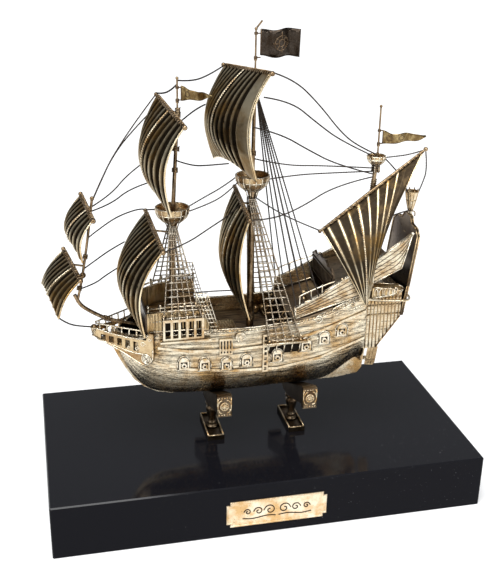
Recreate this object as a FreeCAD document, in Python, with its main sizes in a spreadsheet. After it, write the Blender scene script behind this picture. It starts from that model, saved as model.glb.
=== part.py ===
import FreeCAD, Part
import math
import os
import Sketcher
from FreeCAD import Placement, Rotation, Vector

# A silver model galleon on a black plinth. Millimetres, +Z up, bow towards -X,
# port side towards -Y. The origin is the middle of the plinth's underside.

os.makedirs("parts", exist_ok=True)
doc = FreeCAD.newDocument("model_ship")

# ---------------------------------------------------------------- dimensions

SIZES = {
    "plinth_length": 300.0,
    "plinth_depth": 155.0,
    "plinth_height": 38.5,
    "plinth_chamfer": 0.8,
    "plate_length": 70.0,
    "plate_height": 20.0,
    "plate_thick": 1.2,
    "plate_notch": 2.5,
    "stand_offset": 30.0,
    "foot_length": 12.0,
    "foot_depth": 34.0,
    "foot_floor": 2.0,
    "foot_rim": 1.2,
    "foot_rim_rise": 1.5,
    "column_base": 4.6,
    "column_neck": 3.0,
    "column_head": 5.0,
    "column_height": 22.5,
    "yoke_thick": 10.0,
    "yoke_reach": 45.0,
    "yoke_block": 4.0,
    "yoke_block_low": 73.5,
    "yoke_block_high": 89.0,
    "yoke_seat": 72.5,
    "yoke_depth": 9.5,
    "rod_radius": 1.5,
    "rod_clearance": 0.1,
    "nut_flats": 5.6,
    "nut_height": 2.4,
    "washer_radius": 4.2,
    "washer_thick": 0.8,
    "counterbore_radius": 6.0,
    "counterbore_depth": 7.0,
    "hull_wall": 1.2,
    "hull_stern": 75.0,
    "deck_thick": 1.2,
    "main_deck_level": 118.0,
    "waist_front": -38.0,
    "waist_back": 20.0,
    "mast_radius": 2.4,
    "topmast_radius": 1.5,
    "staff_radius": 0.6,
    "flag_clearance": 0.06,
    "top_radius": 11.5,
    "top_height": 10.0,
    "top_wall": 1.0,
    "mizzen_top_radius": 6.5,
    "mizzen_top_height": 6.0,
    "yard_radius": 1.3,
    "yard_ball": 2.0,
    "sail_thick": 0.8,
    "wire_radius": 0.4,
    "net_wire": 0.9,
    "rudder_rake": 7.8,
    "pintle_radius": 0.5,
    "pintle_clearance": 0.05,
}

sheet = doc.addObject("Spreadsheet::Sheet", "Sizes")
for row, (alias, number) in enumerate(SIZES.items(), start=1):
    sheet.set(f"A{row}", alias)
    sheet.set(f"B{row}", str(number))
    sheet.setAlias(f"B{row}", alias)
doc.recompute()


class Size:
    """A length held as a sheet expression, with its present value."""

    def __init__(self, text, number):
        self.text = text
        self.number = number

    def join(self, other, sign, number):
        return Size(f"({self.text} {sign} {as_size(other).text})", number)

    def __add__(self, other):
        return self.join(other, "+", self.number + float(other))

    def __sub__(self, other):
        return self.join(other, "-", self.number - float(other))

    def __mul__(self, other):
        return self.join(other, "*", self.number * float(other))

    def __truediv__(self, other):
        return self.join(other, "/", self.number / float(other))

    def __neg__(self):
        return Size(f"(-1 * {self.text})", -self.number)

    def __float__(self):
        return float(self.number)


def as_size(value):
    if isinstance(value, Size):
        return value
    return Size(f"({float(value)})", float(value))


def cell(alias):
    return Size(f"Sizes.{alias}", float(sheet.get(alias)))


# ------------------------------------------------------------ document helpers

pieces = []


def new_body(label):
    body = doc.addObject("PartDesign::Body", label)
    body.Label = label
    body.AllowCompound = True
    pieces.append(body)
    return body


def origin_plane(body, role):
    return next(item for item in body.Origin.OriginFeatures if item.Role == role)


def outline_sketch(body, role, name, loops, shift=(0, 0, 0)):
    """Closed straight-sided loops, every corner held by sheet expressions."""
    sketch = body.newObject("Sketcher::SketchObject", name)
    sketch.AttachmentSupport = (origin_plane(body, role), "")
    sketch.MapMode = "FlatFace"
    sketch.AttachmentOffset = Placement(Vector(*[float(part) for part in shift]), Rotation())
    for axis, part in zip("xyz", shift):
        sketch.setExpression(f"AttachmentOffset.Base.{axis}", as_size(part).text)
    for loop in loops:
        first = sketch.GeometryCount
        spots = [Vector(float(across), float(up), 0) for across, up in loop]
        for start, end in zip(spots, spots[1:] + spots[:1]):
            sketch.addGeometry(Part.LineSegment(start, end), False)
        for index, (across, up) in enumerate(loop):
            line = first + index
            following = first + (index + 1) % len(loop)
            sketch.addConstraint(Sketcher.Constraint("Coincident", line, 2, following, 1))
            for kind, length in (("DistanceX", across), ("DistanceY", up)):
                rule = Sketcher.Constraint(kind, -1, 1, line, 1, float(length))
                number = sketch.addConstraint(rule)
                sketch.setExpression(f"Constraints[{number}]", as_size(length).text)
    return sketch


def circle_sketch(body, role, name, centre, radius, shift=(0, 0, 0)):
    sketch = body.newObject("Sketcher::SketchObject", name)
    sketch.AttachmentSupport = (origin_plane(body, role), "")
    sketch.MapMode = "FlatFace"
    sketch.AttachmentOffset = Placement(Vector(*[float(part) for part in shift]), Rotation())
    for axis, part in zip("xyz", shift):
        sketch.setExpression(f"AttachmentOffset.Base.{axis}", as_size(part).text)
    spot = Vector(float(centre[0]), float(centre[1]), 0)
    sketch.addGeometry(Part.Circle(spot, Vector(0, 0, 1), float(radius)), False)
    rules = (("Radius", (0,), radius),
             ("DistanceX", (-1, 1, 0, 3), centre[0]),
             ("DistanceY", (-1, 1, 0, 3), centre[1]))
    for kind, where, length in rules:
        number = sketch.addConstraint(Sketcher.Constraint(kind, *where, float(length)))
        sketch.setExpression(f"Constraints[{number}]", as_size(length).text)
    return sketch


def pad(body, sketch, length, centred=False):
    feature = body.newObject("PartDesign::Pad", sketch.Name + "_pad")
    feature.Profile = sketch
    feature.Midplane = centred
    feature.Length = float(length)
    feature.setExpression("Length", as_size(length).text)
    sketch.Visibility = False
    return feature


def pocket(body, sketch, length, centred=True):
    feature = body.newObject("PartDesign::Pocket", sketch.Name + "_pocket")
    feature.Profile = sketch
    feature.Midplane = centred
    feature.Length = float(length)
    feature.setExpression("Length", as_size(length).text)
    return feature


def turn(body, sketch):
    feature = body.newObject("PartDesign::Revolution", sketch.Name + "_turned")
    feature.Profile = sketch
    feature.ReferenceAxis = (sketch, ["V_Axis"])
    feature.Angle = 360
    return feature


def mirror(body, originals, role):
    feature = body.newObject("PartDesign::Mirrored", body.Name + "_mirrored")
    feature.Originals = originals
    feature.MirrorPlane = (origin_plane(body, role), [""])
    body.Tip = feature
    return feature


def keep_shape(label, shape):
    """A piece whose outline follows the hull or a curve and has no feature of its own."""
    item = doc.addObject("Part::Feature", label)
    item.Label = label
    place = shape.Placement
    item.Shape = shape
    item.Placement = place
    pieces.append(item)
    return item


def rectangle(left, right, low, high):
    return [(left, low), (right, low), (right, high), (left, high)]


# --------------------------------------------------------------------- plinth

length = cell("plinth_length")
depth = cell("plinth_depth")
height = cell("plinth_height")
stand = cell("stand_offset")
rod = cell("rod_radius")
rod_hole = rod + cell("rod_clearance")

plinth = new_body("plinth")
block = pad(plinth, outline_sketch(plinth, "XY_Plane", "plinth_outline",
            [rectangle(-length / 2, length / 2, -depth / 2, depth / 2)]), height)
doc.recompute()
bevel = plinth.newObject("PartDesign::Chamfer", "plinth_edges")
upper_edges = [f"Edge{index}" for index, edge in enumerate(block.Shape.Edges, start=1)
               if edge.BoundBox.ZMax > float(height) - 0.01]
bevel.Base = (block, upper_edges)
bevel.Size = float(cell("plinth_chamfer"))
bevel.setExpression("Size", cell("plinth_chamfer").text)
for side, name in ((1, "aft"), (-1, "fore")):
    hole = circle_sketch(plinth, "XY_Plane", f"plinth_{name}_hole", (stand * side, 0), rod_hole)
    pocket(plinth, hole, height * 4)
    recess = circle_sketch(plinth, "XY_Plane", f"plinth_{name}_recess", (stand * side, 0),
                           cell("counterbore_radius"))
    pocket(plinth, recess, cell("counterbore_depth") * 2)

# A silver plate with bitten corners, glued to the plinth's port face.
plate_half = cell("plate_length") / 2
plate_rise = cell("plate_height") / 2
notch = cell("plate_notch")
nameplate = new_body("nameplate")
plate_outline = [(-plate_half, -plate_rise), (plate_half, -plate_rise),
                 (plate_half, -notch), (plate_half - notch, 0), (plate_half, notch),
                 (plate_half, plate_rise), (-plate_half, plate_rise),
                 (-plate_half, notch), (-plate_half + notch, 0), (-plate_half, -notch)]
PLATE_MIDDLE = 17.0
plate_sketch = outline_sketch(nameplate, "XZ_Plane", "plate_outline", [plate_outline],
                              (0, PLATE_MIDDLE, depth / 2))
pad(nameplate, plate_sketch, cell("plate_thick"))

# ---------------------------------------------------------------------- stand

foot_half = cell("foot_length") / 2
foot_reach = cell("foot_depth") / 2
rim = cell("foot_rim")
floor_top = height + cell("foot_floor")
feet = new_body("stand_feet")
foot_outline = rectangle(stand - foot_half, stand + foot_half, -foot_reach, foot_reach)
foot_inner = rectangle(stand - foot_half + rim, stand + foot_half - rim,
                       -foot_reach + rim, foot_reach - rim)
foot_floor = pad(feet, outline_sketch(feet, "XY_Plane", "foot_floor", [foot_outline],
                 (0, 0, height)), cell("foot_floor"))
foot_wall = pad(feet, outline_sketch(feet, "XY_Plane", "foot_wall", [foot_outline, foot_inner],
                (0, 0, floor_top)), cell("foot_rim_rise"))
foot_hole = pocket(feet, circle_sketch(feet, "XY_Plane", "foot_hole", (stand, 0), rod_hole,
                   (0, 0, height)), height / 2)
mirror(feet, [foot_floor, foot_wall, foot_hole], "YZ_Plane")

# A turned baluster: collar at the foot, slim neck, wide head under the yoke.
columns = new_body("stand_columns")
base = cell("column_base")
neck = cell("column_neck")
head = cell("column_head")
tall = cell("column_height")
column_profile = [(rod_hole, floor_top), (base, floor_top), (base, floor_top + 1.4),
                  (neck, floor_top + 2.2), (neck, floor_top + 5.0),
                  (head, floor_top + tall - 6.0), (head, floor_top + tall - 1.5),
                  (head - 0.8, floor_top + tall), (rod_hole, floor_top + tall)]
column = turn(columns, outline_sketch(columns, "XZ_Plane", "column_profile",
              [column_profile], (stand, 0, 0)))
mirror(columns, [column], "YZ_Plane")

column_top = floor_top + tall
reach = cell("yoke_reach")
block_in = reach - cell("yoke_block")
seat = cell("yoke_seat")
block_high = cell("yoke_block_high")
block_low = cell("yoke_block_low")
yokes = new_body("stand_yokes")
SEAT_HALF = 3.0
yoke_profile = [(-SEAT_HALF, seat), (SEAT_HALF, seat), (block_in, block_high), (reach, block_high),
                (reach, block_low), (block_in, block_low), (block_in, block_low + 2.0),
                (head, column_top), (-head, column_top), (-block_in, block_low + 2.0),
                (-block_in, block_low), (-reach, block_low), (-reach, block_high),
                (-block_in, block_high)]
yoke = pad(yokes, outline_sketch(yokes, "YZ_Plane", "yoke_profile", [yoke_profile],
           (0, 0, stand)), cell("yoke_thick"), centred=True)
yoke_hole = pocket(yokes, circle_sketch(yokes, "XY_Plane", "yoke_hole", (stand, 0), rod_hole,
                   (0, 0, seat)), height)
mirror(yokes, [yoke, yoke_hole], "YZ_Plane")

# A long rod and its nuts clamp plinth, foot, column, yoke and keel together.
ROD_LOW = 3.0
ROD_HIGH = 84.0
rods = new_body("stand_rods")
rod_profile = [(0, ROD_LOW), (rod, ROD_LOW), (rod, ROD_HIGH), (0, ROD_HIGH)]
rod_turned = turn(rods, outline_sketch(rods, "XZ_Plane", "rod_profile", [rod_profile],
                  (stand, 0, 0)))
mirror(rods, [rod_turned], "YZ_Plane")

UPPER_WASHER = 77.6
washer_low = cell("counterbore_depth") - cell("washer_thick")
hexagon = [(stand + cell("nut_flats") * 0.5774 * math.cos(math.radians(60 * turn_by)),
            cell("nut_flats") * 0.5774 * math.sin(math.radians(60 * turn_by)))
           for turn_by in range(6)]
nuts = new_body("stand_nuts")
lower_nut = pad(nuts, outline_sketch(nuts, "XY_Plane", "lower_nut", [hexagon],
                (0, 0, washer_low - cell("nut_height"))), cell("nut_height"))
upper_nut = pad(nuts, outline_sketch(nuts, "XY_Plane", "upper_nut", [hexagon],
                (0, 0, cell("washer_thick") + UPPER_WASHER)), cell("nut_height"))
thread = pocket(nuts, circle_sketch(nuts, "XY_Plane", "nut_thread", (stand, 0), rod), height * 8)
mirror(nuts, [lower_nut, upper_nut, thread], "YZ_Plane")
washers = new_body("stand_washers")
for name, level in (("lower", washer_low), ("upper", as_size(UPPER_WASHER))):
    sketch = circle_sketch(washers, "XY_Plane", f"{name}_washer", (stand, 0),
                           cell("washer_radius"), (0, 0, level))
    pad(washers, sketch, cell("washer_thick"))
washer_hole = pocket(washers, circle_sketch(washers, "XY_Plane", "washer_hole", (stand, 0),
                     rod_hole), height * 8)
mirror(washers, [item for item in washers.Group if item.TypeId == "PartDesign::Pad"]
       + [washer_hole], "YZ_Plane")

# ----------------------------------------------------------------------- hull

# Station along the hull, underside on the centre line, widest half-beam and its
# level, half-beam at the rail and the rail's level.
STATIONS = [
    (-97.0, 111.0, 2.6, 118.0, 2.4, 124.0),
    (-93.0, 102.5, 9.0, 118.0, 8.2, 124.3),
    (-87.0, 91.0, 16.5, 116.0, 15.6, 125.2),
    (-78.0, 81.5, 23.0, 113.0, 22.0, 128.0),
    (-64.0, 77.0, 27.8, 110.5, 26.5, 130.6),
    (-40.0, 75.5, 30.0, 108.5, 29.0, 131.0),
    (-5.0, 75.3, 30.4, 108.0, 29.4, 130.6),
    (30.0, 76.0, 29.8, 110.0, 28.6, 134.0),
    (55.0, 79.5, 27.8, 116.0, 27.0, 141.0),
    (75.0, 90.0, 25.0, 123.0, 24.6, 147.0),
]
FULLNESS = 0.8
ARC_STEPS = 6


def hull_numbers(x):
    """The station numbers at any place along the hull."""
    for near, far in zip(STATIONS, STATIONS[1:]):
        if x <= far[0]:
            share = (x - near[0]) / (far[0] - near[0])
            return [a + (b - a) * share for a, b in zip(near[1:], far[1:])]
    return STATIONS[-1][1:]


def hull_section(station, inset, extra):
    x, keel_z, beam, wide_z, rail_half, rail_z = station
    beam = max(beam - inset, 0.8)
    rail_half = max(rail_half - inset, 0.7)
    keel_z = keel_z + inset
    side = []
    for step in range(1, ARC_STEPS + 1):
        angle = math.pi / 2 * step / ARC_STEPS
        level = keel_z + (wide_z - keel_z) * (1 - math.cos(angle))
        side.append((beam * math.sin(angle) ** FULLNESS, level))
    side.append(((beam + rail_half) / 2, (wide_z + rail_z) / 2))
    side.append((rail_half, rail_z + extra))
    port = [Vector(x, -half, level) for half, level in reversed(side)]
    starboard = [Vector(x, half, level) for half, level in side]
    curve = Part.BSplineCurve()
    curve.interpolate(port + [Vector(x, 0, keel_z)] + starboard)
    closing = Part.LineSegment(starboard[-1], port[0])
    return Part.Wire([curve.toShape(), closing.toShape()])


def hull_form(inset, extra, stations):
    return Part.makeLoft([hull_section(item, inset, extra) for item in stations], True)


def slab(x_low, x_high, y_low, y_high, z_low, z_high):
    size = Vector(x_high - x_low, y_high - y_low, z_high - z_low)
    return Part.makeBox(size.x, size.y, size.z, Vector(x_low, y_low, z_low))


def rod_between(start, end, radius, end_radius=None):
    start = Vector(*start)
    along = Vector(*end) - start
    if end_radius is None or abs(end_radius - radius) < 1e-6:
        return Part.makeCylinder(radius, along.Length, start, along)
    return Part.makeCone(radius, end_radius, along.Length, start, along)


def joined(shapes):
    return shapes[0].multiFuse(shapes[1:]).removeSplitter()


def mirrored_pair(shape):
    return Part.makeCompound([shape, shape.mirror(Vector(0, 0, 0), Vector(0, 1, 0))])


def flat_plate(points, thickness, place):
    """A flat plate in the XZ plane, thickened along Y from the given side."""
    corners = [Vector(x, place, z) for x, z in points]
    face = Part.Face(Part.makePolygon(corners + corners[:1]))
    return face.extrude(Vector(0, thickness, 0))


wall = float(cell("hull_wall"))
stern_x = float(cell("hull_stern"))
stand_x = float(stand)
hull_solid = hull_form(0.0, 0.0, STATIONS)
inner_stations = [(station[0] + wall * (index == 0) - wall * (index == len(STATIONS) - 1),)
                  + station[1:] for index, station in enumerate(STATIONS)]
inner_solid = hull_form(wall, 3.0, inner_stations[:-1] + [inner_stations[-1]])
shell = hull_solid.cut(inner_solid)
rod_bores = [Part.makeCylinder(float(rod_hole), 30, Vector(side * stand_x, 0, 68))
             for side in (-1, 1)]
shell = shell.cut(rod_bores[0]).cut(rod_bores[1])
keep_shape("hull_shell", shell)


def hull_half(x, z):
    """Half-breadth of the hull at a place and level, probed across the form itself."""
    probe = Part.makeLine(Vector(x, 0, z), Vector(x, 60, z)).common(hull_solid)
    return max(vertex.Y for vertex in probe.Vertexes)


# Keel, stem and sternpost are one bar that follows the hull's edge.
KEEL_HALF = 2.4
keel_outer = [(-100.6, 123.8), (-99.6, 112.0), (-95.6, 103.0), (-91.0, 94.0), (-86.0, 86.0),
              (-79.0, 79.5), (-70.0, 74.6), (-60.0, 72.5), (62.0, 72.5), (79.0, 75.0),
              (82.2, 79.0), (85.4, 103.8)]
keel_inner = [(80.0, 103.8), (70.0, 95.0), (0.0, 90.0), (-70.0, 90.0), (-90.0, 112.0),
              (-94.0, 123.8)]
COUNTER_HALF = 21.0
counter_side = [(75.0, 103.8), (84.6, 103.8), (101.5, 127.0), (101.5, 147.5), (75.0, 150.0)]
counter = flat_plate(counter_side, 2 * COUNTER_HALF, -COUNTER_HALF)
tuck_front = [(0, 90.2), (12, 93), (19, 97), (22.5, 101), (23.4, 103.8)]
tuck_back = [(0, 80), (1.2, 84), (1.3, 90), (1.4, 97), (1.5, 103.8)]


def tuck_section(x, half):
    points = [Vector(x, y, z) for y, z in half] + [Vector(x, -y, z) for y, z in half[:0:-1]]
    return Part.makePolygon(points + points[:1])


tuck = Part.makeLoft([tuck_section(stern_x, tuck_front), tuck_section(82.4, tuck_back)],
                     True, True)
counter = counter.fuse(tuck)
keel = flat_plate(keel_outer + keel_inner, 2 * KEEL_HALF, -KEEL_HALF)
keel = keel.cut(hull_solid).cut(counter).cut(rod_bores[0]).cut(rod_bores[1])
keep_shape("keel", max(keel.Solids, key=lambda solid: solid.Volume))
keep_shape("stern_counter", counter)

# Wales: rounded-off strips soldered along the planking, and a cap on the rail.
STRIP_OUT = 1.3
STRIP_IN = 0.5
STRIP_HALF = 0.9
LOWER_WALE = [(-88, 113.0), (-72, 108.5), (-50, 104.0), (-20, 100.5), (10, 99.5), (40, 104.0),
              (74, 114.5)]
UPPER_WALE = [(-72, 120.0), (-50, 117.5), (-20, 116.5), (10, 117.5), (40, 124.5), (74, 135.0)]


def strip(points):
    sections = []
    for x, z in points:
        half = hull_half(x, z)
        corners = [Vector(x, half - STRIP_IN, z - STRIP_HALF),
                   Vector(x, half + STRIP_OUT, z - STRIP_HALF),
                   Vector(x, half + STRIP_OUT, z + STRIP_HALF),
                   Vector(x, half - STRIP_IN, z + STRIP_HALF)]
        sections.append(Part.makePolygon(corners + corners[:1]))
    return Part.makeLoft(sections, True, True)


wale_shapes = [strip(points) for points in (LOWER_WALE, UPPER_WALE)]
keep_shape("wales", Part.makeCompound([copy for shape in wale_shapes
                                       for copy in mirrored_pair(shape).Solids]))

# Gun ports: a raised surround and a short gun at each, both sides alike.
GUN_PORTS = [(-55, 109), (-41, 107.5), (-26, 106.5), (-12, 108), (9.5, 109.5), (30, 115.5),
             (43, 119), (56, 123.5)]
PORT_HALF = 3.4
PORT_TALL = 9.0
PORT_PROUD = 1.5
PORT_LET_IN = 0.6
GUN_RADIUS = 1.7
GUN_LONG = 3.0


def port_frame(x, z):
    half = hull_half(x, z)
    low = z - PORT_TALL / 2
    block = slab(x - PORT_HALF, x + PORT_HALF, half - PORT_LET_IN, half + PORT_PROUD, low,
                 low + PORT_TALL - PORT_HALF)
    spring = Vector(x, half - PORT_LET_IN, low + PORT_TALL - PORT_HALF)
    arch = Part.makeCylinder(PORT_HALF, PORT_LET_IN + PORT_PROUD, spring, Vector(0, 1, 0))
    gap = slab(x - PORT_HALF + 1.1, x + PORT_HALF - 1.1, half - 2, half + 4, low + 1.1,
               low + PORT_TALL - PORT_HALF)
    return block.fuse(arch).cut(gap).removeSplitter()


def gun(x, z):
    half = hull_half(x, z)
    start = Vector(x, half - PORT_LET_IN, z - PORT_TALL / 2 + 3.0)
    barrel = Part.makeCylinder(GUN_RADIUS, GUN_LONG, start, Vector(0, 1, 0))
    bore = Part.makeCylinder(GUN_RADIUS * 0.5, GUN_LONG, start + Vector(0, 1.5, 0),
                             Vector(0, 1, 0))
    return barrel.cut(bore)


keep_shape("gun_port_frames", Part.makeCompound(
    [half for x, z in GUN_PORTS for half in mirrored_pair(port_frame(x, z)).Solids]))
keep_shape("guns", Part.makeCompound(
    [half for x, z in GUN_PORTS for half in mirrored_pair(gun(x, z)).Solids]))

# ---------------------------------------------------------------------- decks

deck = float(cell("deck_thick"))
deck_low = float(cell("main_deck_level"))
waist_front = float(cell("waist_front"))
waist_back = float(cell("waist_back"))
main_deck = inner_solid.common(slab(-80, 60, -40, 40, deck_low, deck_low + deck))
keep_shape("main_deck", main_deck)


def rail_section(x, inner, outer, low, high):
    level = hull_numbers(x)[4]
    corners = [Vector(x, inner, level + low), Vector(x, outer, level + low),
               Vector(x, outer, level + high), Vector(x, inner, level + high)]
    return Part.makePolygon(corners + corners[:1])


def rail_half_at(x):
    return hull_numbers(x)[3]


def deck_on_rail(places):
    sections = [rail_section(x, -rail_half_at(x), rail_half_at(x), 0.05, deck) for x in places]
    return Part.makeLoft(sections, True, True)


forecastle_places = [-78.0, -64.0, -52.0, waist_front]
keep_shape("forecastle_deck", deck_on_rail(forecastle_places))
keep_shape("quarterdeck", deck_on_rail([waist_back, 30.0, 49.0]))

FORECASTLE_RISE = 14.0
BULWARK = 1.3


def side_wall(places, rises, low=deck):
    """A wall standing on the deck's edge, one side."""
    sections = [rail_section(x, rail_half_at(x) - BULWARK, rail_half_at(x), low, low + rise)
                for x, rise in zip(places, rises)]
    return Part.makeLoft(sections, True, True)


front_wall = slab(-79.2, -78.0, -22.0, 22.0, 124.5, 143.0).cut(hull_solid)
fore_sides = mirrored_pair(side_wall(forecastle_places, [FORECASTLE_RISE] * 4))
keep_shape("forecastle_bulwark", Part.makeCompound(fore_sides.Solids))


def pierced(points, holes, thickness):
    """A plate in the XZ plane with square openings, starting at y = 0."""
    def loop(corners):
        spots = [Vector(x, 0, z) for x, z in corners]
        return Part.makePolygon(spots + spots[:1])
    face = Part.Face(loop(points))
    plate = face.extrude(Vector(0, thickness, 0))
    for corners in holes:
        opening = Part.Face(loop(corners)).extrude(Vector(0, thickness * 3, 0))
        plate = plate.cut(opening.translated(Vector(0, -thickness, 0)))
    return plate


def doorway(x, half, low, high, door_half, door_high):
    panel = slab(x, x + 1.2, -half, half, low, high)
    return panel.cut(slab(x - 1, x + 3, -door_half, door_half, low - 1, door_high))


well_floor = deck_low + deck
bulkheads = [front_wall,
             doorway(waist_front - 1.2, 27.0, well_floor, 130.4, 3.5, 128.0),
             doorway(waist_back, 26.6, well_floor, 131.8, 3.5, 128.0)]

# The poop: raked sides, two decks, a scalloped front and the tall transom.
SIDE_TOE_IN = 4.0
SIDE_START = 22.0
SIDE_OUT = 28.4
side_profile = [(0, 0.6), (53, 14.2), (55, 20.5), (77, 30.0), (83.5, 54.5), (58, 37.5),
                (33.5, 25.0), (19, 16.5), (0, 8.0)]
PROFILE_LEVEL = 134.3
poop_side = flat_plate([(x, z + PROFILE_LEVEL) for x, z in side_profile], BULWARK, -BULWARK)
poop_side.rotate(Vector(0, 0, 0), Vector(0, 0, 1), -SIDE_TOE_IN)
poop_side.translate(Vector(SIDE_START, SIDE_OUT, 0))
poop_side = poop_side.cut(hull_solid)
keep_shape("poop_bulwarks", Part.makeCompound(mirrored_pair(poop_side).Solids))


def tilted_deck(x_low, z_low, x_high, z_high, half_low, half_high):
    sections = []
    for x, z, half in ((x_low, z_low, half_low), (x_high, z_high, half_high)):
        corners = [Vector(x, -half, z), Vector(x, half, z), Vector(x, half, z + deck),
                   Vector(x, -half, z + deck)]
        sections.append(Part.makePolygon(corners + corners[:1]))
    return Part.makeLoft(sections, True, True)


poop_deck = tilted_deck(50.2, 154.5, 99.5, 163.0, 24.4, 21.4)
stern_floor = tilted_deck(50.2, 140.6, 74.9, 146.0, 24.4, 23.0).cut(hull_solid)
keep_shape("poop_decks", Part.makeCompound([poop_deck] + stern_floor.Solids))

front_outline = [(-24.4, 141.5), (24.4, 141.5), (24.4, 162.0), (19.0, 166.0), (13.0, 163.5),
                 (7.0, 168.0), (0.0, 165.5), (-7.0, 168.0), (-13.0, 163.5), (-19.0, 166.0),
                 (-24.4, 162.0)]


def cross_plate(outline, x, thickness):
    corners = [Vector(x, y, z) for y, z in outline]
    return Part.Face(Part.makePolygon(corners + corners[:1])).extrude(Vector(thickness, 0, 0))


bulkheads.append(cross_plate(front_outline, 49.0, 1.2).cut(hull_solid))
keep_shape("bulkheads", Part.makeCompound(bulkheads))

TRANSOM_RAKE = 7.0
transom_outline = [(-21.0, 127.5), (21.0, 127.5), (22.4, 150.0), (22.6, 186.0), (17.0, 190.5),
                   (9.0, 191.5), (5.0, 196.0), (-5.0, 196.0), (-9.0, 191.5), (-17.0, 190.5),
                   (-22.6, 186.0), (-22.4, 150.0)]
transom = cross_plate(transom_outline, 101.7, 1.4)
transom.rotate(Vector(101.7, 0, 127.5), Vector(0, 1, 0), TRANSOM_RAKE)
keep_shape("transom", transom)

gallery_inner = [(76.0, 154.5), (98.0, 152.0), (103.0, 148.4), (99.0, 144.0), (76.0, 143.0)]
gallery_outer = [(77.5, 152.5), (92.0, 151.0), (96.0, 148.4), (92.0, 145.5), (77.5, 144.8)]


def side_loop(points, y):
    corners = [Vector(x, y, z) for x, z in points]
    return Part.makePolygon(corners + corners[:1])


gallery = Part.makeLoft([side_loop(gallery_inner, COUNTER_HALF), side_loop(gallery_outer, 26.5)],
                        True, True)
keep_shape("quarter_galleries", Part.makeCompound(mirrored_pair(gallery.cut(hull_solid)).Solids))

# ------------------------------------------------------------------ wire work

BEND_SHARE = 0.45


def wire_path(points):
    """Straight runs joined by arcs that touch both runs."""
    spots = [Vector(*point) for point in points]
    edges = []
    current = spots[0]
    for before, corner, after in zip(spots, spots[1:], spots[2:]):
        back = before - corner
        ahead = after - corner
        trim = BEND_SHARE * min(back.Length, ahead.Length)
        back.normalize()
        ahead.normalize()
        start = corner + back * trim
        end = corner + ahead * trim
        half_turn = (math.pi - back.getAngle(ahead)) / 2
        radius = trim / math.tan(half_turn)
        inward = back + ahead
        inward.normalize()
        middle = corner + inward * (radius / math.cos(half_turn) - radius)
        edges.append(Part.LineSegment(current, start).toShape())
        edges.append(Part.Arc(start, middle, end).toShape())
        current = end
    edges.append(Part.LineSegment(current, spots[-1]).toShape())
    return Part.Wire(edges)


def wire(points, radius):
    if len(points) == 2:
        return rod_between(points[0], points[1], radius)
    path = wire_path(points)
    along = Vector(*points[1]) - Vector(*points[0])
    ring = Part.Wire([Part.Circle(Vector(*points[0]), along, radius).toShape()])
    return path.makePipeShell([ring], True, False)


RAIL_ROD = 0.9
half_rail = [(72.0, -25.0, 143.8), (84.0, -26.8, 142.6), (104.0, -25.6, 140.4),
             (109.4, -18.0, 138.8), (110.6, -6.0, 138.2)]
rail_points = half_rail + [(x, -y, z) for x, y, z in reversed(half_rail)]
keep_shape("stern_rail", wire(rail_points, RAIL_ROD).cut(hull_solid))

# ------------------------------------------------------------------ beakhead

BEAK_TIP = Vector(-111.0, 0, 0)
BEAK_SPREAD = 35.0
BEAK_WALL = 1.4
beak_outline = [(0.6, 128.0), (0.6, 121.0), (16.0, 115.5), (30.0, 109.5), (36.5, 106.2),
                (41.5, 107.4), (44.8, 112.0), (44.8, 130.5), (41.5, 130.5), (39.5, 125.2),
                (20.0, 124.8), (4.5, 126.6)]
beak_windows = [rectangle(5.0 + 6.2 * index, 8.8 + 6.2 * index, 119.6 - 0.9 * index,
                          123.6 - 0.2 * index) for index in range(5)]


def swung(shape, centre, axis, angle):
    copy = shape.copy()
    copy.rotate(centre, axis, angle)
    return copy


beak_side = pierced(beak_outline, beak_windows, BEAK_WALL)
beak_side = swung(beak_side, Vector(0, 0, 0), Vector(0, 0, 1), BEAK_SPREAD)
beak_side.translate(BEAK_TIP)
beak_side = beak_side.cut(hull_solid)
beak_side = max(beak_side.Solids, key=lambda solid: solid.Volume)
beak_slope = math.tan(math.radians(BEAK_SPREAD))
floor_x = -94.5
floor_half = (floor_x - BEAK_TIP.x) * beak_slope
beak_floor = Part.Face(Part.makePolygon([Vector(-109.4, 0.8, 117.5), Vector(floor_x, floor_half, 117.5),
                                         Vector(floor_x, -floor_half, 117.5),
                                         Vector(-109.4, -0.8, 117.5),
                                         Vector(-109.4, 0.8, 117.5)])).extrude(Vector(0, 0, 1.2))
beak_floor = beak_floor.cut(hull_solid).cut(keel)
knob = Part.makeSphere(2.4, Vector(-111.8, 0, 127.0)).fuse(
    rod_between((-111.2, 0, 120.8), (-111.6, 0, 126.0), 1.3, 1.6))
keep_shape("beakhead", Part.makeCompound(mirrored_pair(beak_side).Solids + [beak_floor, knob]))

BOWSPRIT_RADIUS = 1.3
bowsprit_route = [(-77.0, 0, 124.5), (-92.0, 0, 129.2), (-103.0, 0, 132.8), (-112.0, 0, 138.0),
                  (-120.0, 0, 144.0), (-123.5, 0, 152.0)]
keep_shape("bowsprit", wire(bowsprit_route, BOWSPRIT_RADIUS))

SPRIT_MAST_RADIUS = 0.9
sprit_route = [(-122.0, 0, 146.5), (-118.0, 0, 163.0), (-113.5, 0, 188.0), (-109.0, 0, 218.0)]
sprit_mast = wire(sprit_route, SPRIT_MAST_RADIUS).fuse(
    Part.makeSphere(2.1, Vector(-117.4, 0, 165.5)))
keep_shape("sprit_topmast", sprit_mast.fuse(Part.makeSphere(1.5, Vector(-109.0, 0, 218.0))))

# ---------------------------------------------------------------------- masts

mast = float(cell("mast_radius"))
topmast = float(cell("topmast_radius"))
staff = float(cell("staff_radius"))
top_radius = cell("top_radius")
top_height = cell("top_height")
top_wall = cell("top_wall")
FORE_TOP_LEVEL = 199.5
MAIN_TOP_LEVEL = 219.0
MIZZEN_TOP_LEVEL = 232.5
COLLAR = 1.1

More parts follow.
